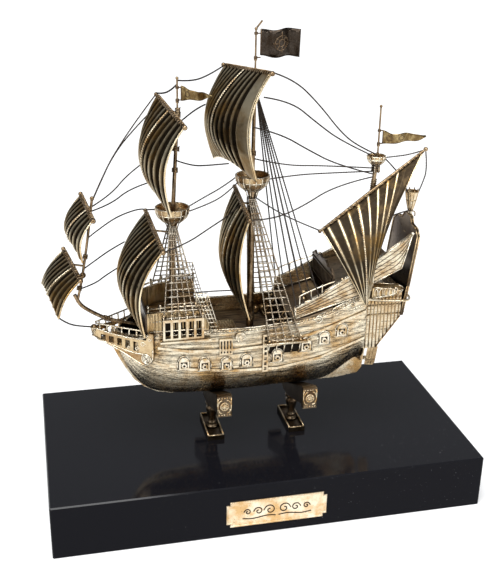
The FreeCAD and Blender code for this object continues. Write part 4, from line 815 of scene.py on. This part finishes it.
WINDOW_ROWS = ((132.0, 142.0, (-15, -5, 5, 15), 3.4),
               (151.0, 163.0, (-15.5, -5.2, 5.2, 15.5), 3.6))
windows = []
for low, high, spots, half in WINDOW_ROWS:
    for y in spots:
        windows.append([on_transom(y - half, low, 0.2), on_transom(y - half, high - 3, 0.2),
                        on_transom(y, high, 0.2), on_transom(y + half, high - 3, 0.2),
                        on_transom(y + half, low, 0.2)])
        windows += [[on_transom(y, level, 0.1) for level in (low, high - 1)],
                    [on_transom(y + off, (low + high) / 2, 0.1) for off in (-half, half)]]
half_border = [(21.0, 127.9), (22.2, 150.0), (22.4, 186.0), (17.0, 190.2), (9.0, 191.2), (5.0, 195.7)]
border = [(-21.0, 127.9)] + half_border + [(-y, z) for y, z in reversed(half_border)]
for proud in (0.1, -1.5):
    windows += [[on_transom(*spot, proud) for spot in run] for run in zip(border, border[1:])]
windows += [[on_transom(y, z, 0.3) for y in (-21.4, 21.4)]
            for z in (130.2, 144.6, 148.0, 166.0, 169.0, 186.0)]
WHEEL_LEVEL = 177.5
windows += [hoop(on_transom(0, WHEEL_LEVEL, 0.3), radius, (1, 0, RAKE_SLOPE), 14)
            for radius in (5.6, 4.2, 1.4)]
windows += [[on_transom(radius * math.cos(angle), WHEEL_LEVEL + radius * math.sin(angle), 0.3)
             for radius in (4.2, 1.4)] for angle in [step * math.pi / 4 for step in range(8)]]
windows += [[on_transom(side * (9 + 2.2 * index), level, 0.3) for level in (171.0, 184.0)]
            for side in SIDES for index in range(6)]
drawn_wire("transom_windows", windows, 0.5, gilt_silver, resolution=3)
quarters = []
for index in range(10):
    x = 76.6 + 2.6 * index
    low = 104.4 if x < 84.6 else 104.4 + (x - 84.6) * 1.373
    quarters.append([(x, 21.15, low), (x, 21.15, 142.6)])
quarters += [[(76, 21.3, z), (101.2, 21.3, z)] for z in (129.5, 136.5)]
quarters.append([(84.6, 21.2, 104.2), (101.4, 21.2, 127.2)])
drawn_wire("quarter_staves", mirrored(quarters), 0.42, gilt_silver)
gallery = []
for index in range(5):
    x = 78.6 + 3.6 * index
    gallery += [[(x, 26.5, 145.2), (x, 26.6, 150.4), (x + 1.4, 26.7, 151.6), (x + 2.8, 26.6, 150.4),
                 (x + 2.8, 26.5, 145.2)]]
gallery += [[(x, 21.4, z) for x, z in ((76, 143.0), (99, 144.0), (103, 148.4), (98, 152.0), (76, 154.5))],
            [(x, 26.5, z) for x, z in ((77.5, 144.8), (92, 145.5), (96, 148.4), (92, 151.0), (77.5, 152.5))],
            [(96, 26.5, 148.4), (103, 21.2, 148.4)]]
drawn_wire("gallery_windows", mirrored(gallery), 0.5, rim_silver, resolution=3)
lantern_ribs = []
for index in range(8):
    turn = index * math.pi / 4
    lantern_ribs.append([(111.5 + radius * math.cos(turn), radius * math.sin(turn), level)
                         for radius, level in ((1.3, 198.0), (2.2, 200.0), (4.8, 212.0), (4.4, 213.6))])
lantern_ribs += [hoop((111.5, 0, 212.0), 4.5, (0, 0, 1), 14), hoop((111.5, 0, 206.0), 3.6, (0, 0, 1), 12)]
lantern_ribs.append([(111.5, 0, 197.4), (114.0, 0, 197.8), (115.6, 0, 196.2), (115.2, 0, 193.6)])
drawn_wire("lantern_ribs", lantern_ribs, 0.45, gilt_silver, resolution=3)
RUDDER_RAKE = math.radians(7.8)


def on_rudder(out, up, side):
    """A place on the rudder blade, measured from its foot along and across its raked axis."""
    return (84.4 + out * math.cos(RUDDER_RAKE) + up * math.sin(RUDDER_RAKE), side * 0.75,
            80.0 + up * math.cos(RUDDER_RAKE) - out * math.sin(RUDDER_RAKE))


straps = []
for side in SIDES:
    straps += [[on_rudder(1.2, up + lift, side), on_rudder(far, up + lift, side)]
               for up, far in ((4.0, 8.2), (17.5, 7.2)) for lift in (-0.6, 0.6)]
    straps += [[on_rudder(out, 1.0, side), on_rudder(out, 20.0, side)] for out in (3.4, 5.6)]
drawn_wire("rudder_straps", straps, 0.3, gilt_silver, body="rudder")

# The beakhead: pierced cheeks that meet at a knob, edged with a bright lip that
# runs back to a round boss with the hawse hole.
dress(gilt_silver, "beakhead")
SPREAD = math.radians(35)


def on_cheek(along, level, proud=1.4):
    """A place on the outside of the starboard cheek."""
    return (-111.0 + along * math.cos(SPREAD) - proud * math.sin(SPREAD),
            along * math.sin(SPREAD) + proud * math.cos(SPREAD), level)


CHEEK_LIPS = (
    ((0.6, 121.0), (16.0, 115.5), (30.0, 109.5), (36.5, 106.4), (41.5, 107.6), (44.6, 112.0),
     (44.4, 119.0)),
    ((1.0, 127.4), (4.5, 126.6), (20.0, 124.8), (39.5, 125.2), (41.8, 130.0)),
    ((2.0, 119.8), (16.0, 116.8), (30.0, 114.0), (38.0, 114.6)))
cheek = [[on_cheek(*spot) for spot in lip] for lip in CHEEK_LIPS]
HAWSE = (39.4, 111.6)
outward = (-math.sin(SPREAD), math.cos(SPREAD), 0)
cheek += [hoop(on_cheek(*HAWSE, 1.5), radius, outward, 12) for radius in (3.4, 2.2, 1.1)]
for index in range(7):
    along = 4.2 + 5.6 * index
    cheek.append([on_cheek(along, 126.0, 0.7), on_cheek(along, 130.4, 0.7)])
cheek.append([on_cheek(along, 130.6 + 0.02 * along, 0.7) for along in (0.8, 12, 24, 38)])
for along, level, size in ((32.5, 117.6, 1.9), (37.0, 121.6, 2.2), (42.2, 126.0, 1.6), (26.0, 117.2, 1.3)):
    cheek.append([on_cheek(along + size * (1 - turn / 12) * math.cos(turn * 0.8),
                           level + size * (1 - turn / 12) * math.sin(turn * 0.8), 1.0) for turn in range(11)])
# Painted shade: a dark bead stands in each hawse hole.
beads("hawse_hole_shades", both_sides([on_cheek(*HAWSE, 0.9)]), 1.15, seam_and_shade_silver)
drawn_wire("cheek_mouldings", mirrored(cheek), 0.55, rim_silver, resolution=3)
drawn_wire("beak_knob_rings", [hoop((-111.8, 0, z), radius, (0, 0, 1)) for z, radius in
                               ((121.6, 1.6), (123.4, 1.7), (125.2, 2.0), (127.0, 2.5))], 0.35, rim_silver)

# Masts, tops and spars: drawn rod and spun bowls browned by age, with wire wound
# round them wherever a yard or a stay is lashed on.
spar_silver = silver("spar_silver", (0.42, 0.31, 0.19), (0.22, 0.14, 0.07), UMBER, scale=160,
                     toning=0.6, polish=0.22, grain=(900, 900, 60))
dress(spar_silver, "bowsprit", "sprit_topmast", "fore_mast", "main_mast", "mizzen_mast",
      "fore_topmast", "main_topmast", "mizzen_staff", "fore_course_yard", "fore_topsail_yard",
      "main_course_yard", "main_topsail_yard", "sprit_topsail_yard", "spritsail_yard",
      "mizzen_yard")
dress(gilt_silver, "fore_top", "main_top", "mizzen_top")
LASHINGS = [(-57.7, 140, -57.6, 145, 2.7, 5), (-57.2, 187, -57.1, 192, 2.4, 5), (-3, 124, -3, 130, 2.9, 6),
            (-3, 203, -3, 208, 2.6, 5), (79, 166, 79.3, 171, 2.1, 5), (82.2, 214, 82.8, 222, 1.9, 6),
            (83.1, 227, 83.4, 232, 2.2, 4)]
LASHINGS += [(-56.4 + (level - 210) * 0.058, level, -56.2 + (level - 210) * 0.058, level + 3, radius, 3)
             for level, radius in ((233, 1.9), (247, 2.3), (262, 1.8), (269, 2.0), (272, 1.6))]
LASHINGS += [(-2.9, level, -2.9, level + 3, radius, 3)
             for level, radius in ((242, 1.9), (283, 1.7), (293, 1.9))]
LASHINGS += [(-115.5, 177, -114.9, 180, 1.5, 3), (-111.5, 204, -111, 207, 1.5, 3),
             (-120.5, 155, -119.8, 158, 1.6, 3), (-105, 133.9, -101, 132.2, 1.8, 4)]


def winding(start, end, radius, turns, steps=8):
    """A helix of wire wound round a straight spar."""
    start, end = Vector(start), Vector(end)
    lean = Vector((0, 0, 1)).rotation_difference(end - start)
    count = turns * steps
    return [start.lerp(end, step / count) + lean @ round_spot(step, steps, radius)
            for step in range(count + 1)]


drawn_wire("mast_lashings", [winding((x, 0, z), (to_x, 0, to_z), radius, turns)
                             for x, z, to_x, to_z, radius, turns in LASHINGS],
           0.42, spar_silver, resolution=2)
TOPS = ((-57.0, 199.5, 11.5, 10.0, 16), (-3.0, 219.0, 11.5, 10.0, 16), (83.4, 232.5, 6.5, 6.0, 12))
cage = []
for x, level, radius, rise, count in TOPS:
    for index in range(count):
        turn = index * 2 * math.pi / count
        cage.append([(x + share * radius * math.cos(turn), share * radius * math.sin(turn), level + rise * up)
                     for share, up in ((0.46, -0.02), (0.79, 0.26), (0.965, 0.62), (1.0, 1.0))])
    cage += [hoop((x, 0, level + rise), radius - 0.4, (0, 0, 1), 20),
             hoop((x, 0, level + rise * 0.62), radius * 0.96, (0, 0, 1), 20),
             hoop((x, 0, level + 0.2), radius * 0.45, (0, 0, 1), 12)]
    cage += [[(x + 3.0 * math.cos(turn), 3.0 * math.sin(turn), level - 5.5),
              (x + radius * 0.42 * math.cos(turn), radius * 0.42 * math.sin(turn), level - 0.2)]
             for turn in [index * math.pi / 3 for index in range(6)]]
drawn_wire("top_cages", cage, 0.4, rim_silver, resolution=3)

# The square sails: thin sheet, ribbed from head to foot, blown forward and laced
# to the yards. The ribs are polished over oxidised hollows, with one rope down each.
sail_silver = silver("sail_silver", (0.84, 0.72, 0.50), (0.46, 0.28, 0.10), (0.012, 0.007, 0.004),
                     scale=42, toning=0.5, polish=0.2, reach=0.0025)
SAILS = {
    "fore_course": dict(port=(-69.5, -44, 194.0), starboard=(-69.5, 44, 194.0),
                        clew_port=(-82.0, -43, 134.5), clew_starboard=(-85.0, 43, 135.5),
                        billow=12.0, belly=5.0, ribs=11, rope=0.30),
    "fore_topsail": dict(port=(-54.6, -40, 271.0), starboard=(-60.7, 40, 276.0),
                         clew_port=(-63.0, -38, 213.5), clew_starboard=(-67.0, 38, 214.0),
                         billow=11.0, belly=4.0, ribs=9, rope=0.5),
    "main_course": dict(port=(-13.5, -39, 210.0), starboard=(-6.5, 39, 210.0),
                        clew_port=(-12.0, -38, 139.0), clew_starboard=(-12.0, 38, 139.0),
                        billow=9.0, belly=4.0, ribs=9, rope=0.4),
    "main_topsail": dict(port=(-1.8, -41, 302.0), starboard=(-14.7, 41, 294.5),
                         clew_port=(-10.0, -43, 236.0), clew_starboard=(-22.0, 43, 230.5),
                         billow=12.0, belly=6.0, ribs=12, rope=0.52, band=0.13),
    "sprit_topsail": dict(port=(-110.6, -30, 212.5), starboard=(-114.6, 30, 212.5),
                          clew_port=(-118.5, -29, 184.5), clew_starboard=(-125.5, 29, 184.5),
                          billow=6.0, belly=2.5, ribs=8, rope=0.4),
    "spritsail": dict(port=(-120.3, -31, 173.7), starboard=(-128.2, 31, 173.7),
                      clew_port=(-135.5, -33, 149.0), clew_starboard=(-144.5, 33, 149.0),
                      billow=4.0, belly=2.5, ribs=9, rope=0.4),
}
SAIL_MIDDLE = Vector((0.4, 0, 0))
RIB_STEPS = 8
SAIL_ROWS = 34
RIB_HALF = 0.15
RIB_PROUD = 0.9
PLAIN_RISE = 0.85
HEM_SHARES = [step / 12 for step in range(13)]
LACING = 1.55


def sail_spot(sail, share, drop):
    """The middle of the sheet at a share of its width and of its drop."""
    left = Vector(sail["port"]).lerp(Vector(sail["clew_port"]), drop)
    right = Vector(sail["starboard"]).lerp(Vector(sail["clew_starboard"]), drop)
    arch = 4 * share * (1 - share)
    blown = sail["billow"] * math.sin(math.pi * drop ** 0.9)
    forward = blown * (0.75 + 0.25 * arch) + sail["belly"] * arch * math.sin(math.pi * drop * 0.75)
    foot_rise = 7.0 * arch * drop ** 3
    return left.lerp(right, 0.03 + 0.94 * share) + Vector((-forward, 0, foot_rise)) + SAIL_MIDDLE


def rib_rise(share, ribs, half=RIB_HALF):
    """How far up a rib stands, from 0 in a hollow to 1 on the crest."""
    off = abs(share * ribs % 1.0 - 0.5) / half
    return max(0.0, 1 - off * off)


def darkness(rise):
    """How dark the oxide lies, from deep in a hollow to none on the crest of a rib."""
    return 0.97 * (1 - rise) ** 0.5


def yard_lacing(start, end, turns, up):
    """Fine wire wound round a yard, six points to a turn."""
    points = turns * 6
    return [Vector(start).lerp(Vector(end), 0.04 + 0.92 * step / points)
            + (Vector((math.cos(step * math.pi / 3), 0, 0))
               + Vector(up) * math.sin(step * math.pi / 3)) * LACING
            for step in range(points + 1)]


for name, sail in SAILS.items():
    def lay_sail(column, row):
        share = column / (sail["ribs"] * RIB_STEPS)
        rise = PLAIN_RISE if share < sail.get("band", 0.0) else rib_rise(share, sail["ribs"])
        return sail_spot(sail, share, row / SAIL_ROWS) + Vector((-RIB_PROUD * rise, 0, 0)), darkness(rise)

    bm = sheet(sail["ribs"] * RIB_STEPS, SAIL_ROWS, lay_sail, (-1, 0, 0))
    thicken(piece(f"{name}_ribbed", bm, sail_silver, stands_for=[f"{name}_sail"],
                  slot="sail_silver"), LEAF, 0.0)
    hems = [[sail_spot(sail, 0.0, drop) for drop in HEM_SHARES],
            [sail_spot(sail, 1.0, drop) for drop in HEM_SHARES],
            [sail_spot(sail, share, 1.0) for share in HEM_SHARES]]
    drawn_wire(f"{name}_hem", hems, 0.62, sail_silver, slot="sail_silver")
    rope = [sail_spot(sail, sail["rope"], drop) + Vector((-1.0, 0, 0)) for drop in HEM_SHARES]
    drawn_wire(f"{name}_rope", [rope], 0.85, cast_silver, turn=3.2)
    lacing = yard_lacing(sail["port"], sail["starboard"], sail["ribs"] * 2, (0, 0, 1))
    drawn_wire(f"{name}_lacing", [lacing], 0.3, spar_silver, resolution=2)

# The lateen sail on the mizzen mast: its ribs fan from the slanting yard down to
# one clew, with a broad dark band along the after edge.
TACK = Vector((44.0, -5.5, 188.5))
PEAK = Vector((116.5, -5.5, 243.0))
CLEW = Vector((71.5, -32.0, 143.0))
CLEW_WIDTH = 0.06
LATEEN_RIBS = 10
LATEEN_RIB_HALF = 0.13
LATEEN_BAND = 0.84


def lateen_spot(share, drop):
    """A place on the sail, by its share of the way to the leech and down to the clew."""
    narrow = (share - 0.5) * CLEW_WIDTH
    head = TACK.lerp(PEAK, 0.02 + 0.96 * share)
    clew = CLEW + Vector((30 * narrow, 0, 22 * narrow))
    arch = 4 * share * (1 - share)
    blown = math.sin(math.pi * drop ** 0.85) * (6.5 + 6.0 * arch ** 0.7)
    hollow = 9.0 * math.sin(math.pi * drop) * share ** 2
    return head.lerp(clew, drop) + Vector((-hollow, -blown + 0.4, 0))


def lay_lateen(column, row):
    share = column / (LATEEN_RIBS * RIB_STEPS)
    drop = row / SAIL_ROWS
    # Past LATEEN_BAND the sheet has no ribs and takes the full darkness of a hollow: the dark band along the
    # after edge.
    rise = rib_rise(share, LATEEN_RIBS, LATEEN_RIB_HALF) if share < LATEEN_BAND else 0.0
    lift = RIB_PROUD * rise * (1 - drop ** 2)
    return lateen_spot(share, drop) + Vector((0, -lift, 0)), darkness(rise)


bm = sheet(LATEEN_RIBS * RIB_STEPS, SAIL_ROWS, lay_lateen, (0, -1, 0))
thicken(piece("mizzen_ribbed", bm, sail_silver, stands_for=["mizzen_sail"], slot="sail_silver"), LEAF, 0.0)
drawn_wire("mizzen_hem", [[lateen_spot(share, drop) for drop in HEM_SHARES] for share in (0.0, 1.0)],
           0.55, sail_silver, slot="sail_silver")
drawn_wire("mizzen_rope", [[lateen_spot(0.34, drop) + Vector((0, -RIB_PROUD, 0)) for drop in HEM_SHARES]],
           0.8, cast_silver, turn=3.2)
drawn_wire("mizzen_lacing", [yard_lacing(TACK, PEAK, 25, (0, 1, 0))], 0.3, spar_silver, resolution=2)

# The shrouds: rope ladders of twisted wire, soldered at every crossing, from the
# mastheads down to the channels on each side.
net_silver = silver("net_silver", (0.62, 0.55, 0.44), (0.34, 0.24, 0.14), UMBER, scale=120,
                    toning=0.5, polish=0.2, reach=0.001)
wire_silver = silver("wire_silver", (0.075, 0.065, 0.058), (0.05, 0.036, 0.028), (0.012, 0.010, 0.009),
                     scale=220, toning=0.5, polish=0.25, reach=0.001)
NETS = [((-59.4, 3.0, 197.0), (-55.0, 3.0, 197.0), (-68.0, 30.6, 143.0), (-43.0, 30.6, 143.0), 5, 13),
        ((-5.6, 3.0, 213.0), (-1.4, 3.0, 213.0), (3.0, 33.4, 122.0), (25.0, 33.4, 122.0), 4, 20)]
lines, rungs = [], []
for top_near, top_far, base_near, base_far, across, down in NETS:
    for side in SIDES:
        corners = [Vector((x, side * y, z)) for x, y, z in (top_near, top_far, base_near, base_far)]
        for column in range(across + 1):
            share = column / across
            lines.append([corners[0].lerp(corners[1], share), corners[2].lerp(corners[3], share)])
        for row in range(down + 1):
            drop = row / down
            rungs.append([corners[0].lerp(corners[2], drop), corners[1].lerp(corners[3], drop)])
drawn_wire("shroud_lines", lines, 0.58, net_silver, turn=2.6, stands_for=["shrouds"],
           slot="oxidised_silver")
drawn_wire("ratlines", rungs, 0.42, net_silver, slot="oxidised_silver")

# The rigging: stiff wire, two strands twisted and blackened, bent by hand and
# soldered at both ends.
BACKSTAYS = [[(-1.2, side * 0.6, 283.0), (22.5 + 5.2 * index, side * 28.2, 143.2 + 2.2 * index)]
             for side in SIDES for index in range(4)]
drawn_wire("twisted_backstays", BACKSTAYS, 0.58, wire_silver, turn=3.0, stands_for=["backstays"],
           slot="oxidised_silver")
FORE_STAYS = [
    [(-60.6, 39.5, 276.8), (-75, 30, 262), (-89, 20, 246), (-99, 9, 234), (-108.6, 0.6, 217)],
    [(-63.2, 40, 266), (-80, 30, 253), (-94, 16, 240), (-103, 6, 226), (-109.6, 0.6, 214.4)],
    [(-68, 38.2, 232), (-83, 26, 226), (-96, 12, 216), (-109.9, 0.6, 212)],
    [(-67.4, 37.8, 216), (-82, 28, 215), (-96, 14, 209), (-110.6, 0.6, 209)],
    [(-113, 0.6, 191), (-98, 16, 196.5), (-84, 32, 197), (-72, 43, 196), (-69.6, 44, 194.6)],
    [(-69.3, 43.8, 194.6), (-66, 30, 199), (-62, 16, 203), (-60.2, 11, 205.6)],
    [(-116.8, 0.8, 169.4), (-104, 16, 172), (-95, 30, 172), (-85.2, 41.2, 172.6)],
    [(-120.6, 0.8, 155.2), (-109, 14, 153), (-100, 28, 153.6), (-91.2, 41, 153)],
    [(-135.2, -31.2, 149.6), (-130, -22, 141), (-121, -10, 133), (-113.2, -1.4, 128.2)],
    [(-69.2, -44, 194.4), (-54, -36, 196), (-36, -22, 201), (-20, -10, 205.4), (-11.2, -2, 209.4)],
    [(-46.2, -4, 207.4), (-33, -5, 212), (-22, -5, 218), (-13.8, -4, 225.4)],
    [(-46.2, 4, 207.6), (-34, 5, 214), (-23, 5, 219.5), (-13.8, 4, 226.4)],
    [(-54, -0.8, 241), (-46, -9, 239.4), (-37, -20, 242), (-26, -32, 246)],
    [(-53.2, 0.6, 264), (-44, 13, 267), (-35, 26, 269), (-27.6, 39, 268.6)],
    [(-52.8, 0.4, 292), (-42, 12, 289), (-28, 26, 290), (-15, 40.6, 293.8)],
    [(-52.9, 0.3, 289.6), (-54.6, 12, 284), (-58, 26, 279), (-60.6, 39.6, 277)],
    [(-57.6, 0, 150), (-46, -4, 148.6), (-34, -8, 151), (-17.6, -12, 152)],
]
AFTER_STAYS = [
    [(-1.6, -40.8, 302.6), (14, -33, 297), (34, -23, 279), (52, -14, 259), (66, -8, 248), (82, -1.4, 240)],
    [(-6.6, -40.6, 288), (12, -34, 284), (32, -24, 268), (54, -12, 252), (81.8, -0.8, 238)],
    [(-12.2, -41, 270), (6, -34, 264), (28, -22, 250), (52, -10, 236), (81.2, -1, 226)],
    [(-2, -0.8, 240), (18, -3, 235), (46, -3, 234), (82.2, -0.6, 230)],
    [(7.6, -2, 226), (24, -4, 228.6), (48, -4, 229), (82, -1.2, 228)],
    [(-13.4, -38.8, 210.4), (2, -33, 208), (24, -24, 212), (52, -10, 222), (81, -1.2, 224)],
    [(-0.8, -1.6, 213.6), (10, -4, 206), (26, -5, 197), (44, -5.5, 188.9)],
    [(89.4, -1, 237.2), (98, -2, 238), (107, -4, 239.6), (116.4, -5.3, 242.6)],
    [(116.6, -5.2, 242.6), (119.6, -4, 229), (118, -2, 218), (114.6, -0.6, 207.4)],
    [(89, -2, 236.8), (99, -3, 227), (106, -2, 217), (108.2, -1, 208.6)],
    [(88.6, -11, 196), (97, -7, 198.6), (110.4, -1, 198.4)],
]
drawn_wire("fore_rigging", FORE_STAYS, 0.54, wire_silver, turn=2.4, stands_for=["stays"],
           slot="oxidised_silver")
drawn_wire("after_rigging", AFTER_STAYS, 0.54, wire_silver, turn=2.4, slot="oxidised_silver")

# The flags: cut from thin sheet, waved by hand and soldered to a hoist wire, with
# two rings each that turn round the staffs. The emblem is a plain compass rose.
flag_silver = silver("flag_silver", (0.060, 0.048, 0.038), (0.035, 0.024, 0.016), (0.006, 0.005, 0.004),
                     scale=160, toning=0.5, polish=0.2)
emblem_silver = silver("emblem_silver", (0.19, 0.135, 0.085), (0.10, 0.06, 0.032), (0.015, 0.010, 0.008),
                       scale=260, toning=0.55, polish=0.22)
pennant_silver = silver("pennant_silver", (0.46, 0.35, 0.17), (0.17, 0.11, 0.045), (0.015, 0.011, 0.007),
                        scale=210, toning=0.75, polish=0.24)
FLAGS = {
    "main_flag": dict(staff=(-2.5, 304.5), tall=16.5,
                      low=((3.2, 2.4), (12.0, 0.6), (20.0, 2.0), (28.8, 0.9)),
                      high=((3.2, 18.2), (11.0, 17.2), (19.0, 18.6), (28.8, 17.9)), sway=1.9,
                      waves=1.5, finish=flag_silver, slot="oxidised_silver"),
    "fore_pennant": dict(staff=(-52.8, 279.0), tall=9.5,
                         low=((2.6, 0.4), (9.0, 0.9), (15.0, 0.3), (22.6, 2.4)),
                         high=((2.6, 9.6), (9.0, 6.4), (15.0, 5.2), (22.6, 2.9)), sway=1.2,
                         waves=1.5, finish=pennant_silver, slot="tarnished_silver"),
    "mizzen_pennant": dict(staff=(84.2, 246.0), tall=10.5,
                           low=((2.8, 0.9), (10.0, 0.4), (18.0, 1.9), (26.0, 1.6), (34.2, 4.4)),
                           high=((2.8, 9.6), (10.0, 6.6), (18.0, 7.3), (26.0, 6.2), (34.2, 4.9)), sway=1.4,
                           waves=2.0, finish=pennant_silver, slot="tarnished_silver"),
}
RING_TALL = 1.6
RING = [(0.66, 0), (1.1, 0), (1.2, 0.25), (1.2, 1.35), (1.1, RING_TALL), (0.66, RING_TALL)]
FLAG_COLUMNS, FLAG_ROWS = 32, 8
MARK_PROUD = 0.25


def edge_at(edge, along):
    """The height of a waved edge at a distance from the staff, eased between its points."""
    for (near, near_high), (far, far_high) in zip(edge, edge[1:]):
        if along <= far:
            break
    share = min(1.0, max(0.0, (along - near) / (far - near)))
    return near_high + (far_high - near_high) * (1 - math.cos(math.pi * share)) / 2


def flag_spot(flag, share, rise, proud=0.0):
    """A place on a waved flag, from the hoist to the fly and from its foot to its head."""
    near, far = flag["low"][0][0], flag["low"][-1][0]
    along = near + (far - near) * share
    low, high = edge_at(flag["low"], along), edge_at(flag["high"], along)
    wave = math.sin(share * flag["waves"] * 2 * math.pi + rise * 0.8 * share)
    sway = flag["sway"] * wave * min(1, share * 4)
    x, base = flag["staff"]
    return Vector((x + along, sway + proud, base + low + (high - low) * rise))


for name, flag in FLAGS.items():
    def lay_flag(column, row):
        return flag_spot(flag, column / FLAG_COLUMNS, row / FLAG_ROWS), 0.0

    made = piece(f"{name}_sheet", sheet(FLAG_COLUMNS, FLAG_ROWS, lay_flag, (0, -1, 0)), flag["finish"],
                 body=name, stands_for=[name], slot=flag["slot"])
    thicken(made, LEAF, 0.0)
    x, base = flag["staff"]
    rings = [turned_shape(RING + RING[:1], (x, 0, base + level), 16)
             for level in (0.0, flag["tall"] - RING_TALL)]
    piece(f"{name}_rings", gathered(rings), emblem_silver, body=name, slot=flag["slot"])
    hoist = [[flag_spot(flag, 0.0, rise) for rise in (0.0, 1.0)]]
    hoist += [[(x + 1.0, 0, base + level), (x + flag["low"][0][0], 0, base + level)]
              for level in (RING_TALL / 2, flag["tall"] - RING_TALL / 2)]
    drawn_wire(f"{name}_hoist", hoist, 0.42, emblem_silver, body=name, slot=flag["slot"])
    lips = [[flag_spot(flag, step / 16, rise) for step in range(17)] for rise in (0.0, 1.0)]
    drawn_wire(f"{name}_lip", lips, 0.32, flag["finish"], body=name, slot=flag["slot"], resolution=2)


def rose_spot(turn, radius, face):
    """A place on the main flag's compass rose, on either face."""
    return flag_spot(FLAGS["main_flag"], 0.52 + radius * math.cos(turn), 0.5 + 1.6 * radius * math.sin(turn),
                     face * MARK_PROUD)


rose = []
for face in SIDES:
    rose += [[rose_spot(step * math.pi / 8, radius, face) for step in range(17)] for radius in (0.17, 0.08)]
    rose += [[rose_spot(point * math.pi / 4, radius, face)
              for radius in (0.08, 0.15, 0.24 - 0.05 * (point % 2))] for point in range(8)]
drawn_wire("flag_rose", rose, 0.34, emblem_silver, body="main_flag", slot="oxidised_silver", resolution=2)
for name, places in (("fore_pennant", (0.2,)), ("mizzen_pennant", (0.16, 0.42))):
    flag = FLAGS[name]
    marks = [[flag_spot(flag, middle + 0.07 * math.cos(turn), 0.5 + 0.26 * math.sin(turn), face * MARK_PROUD)
              for turn in [step * math.pi / 6 for step in range(13)]]
             for face in SIDES for middle in places]
    drawn_wire(f"{name}_marks", marks, 0.28, emblem_silver, body=name, resolution=2)
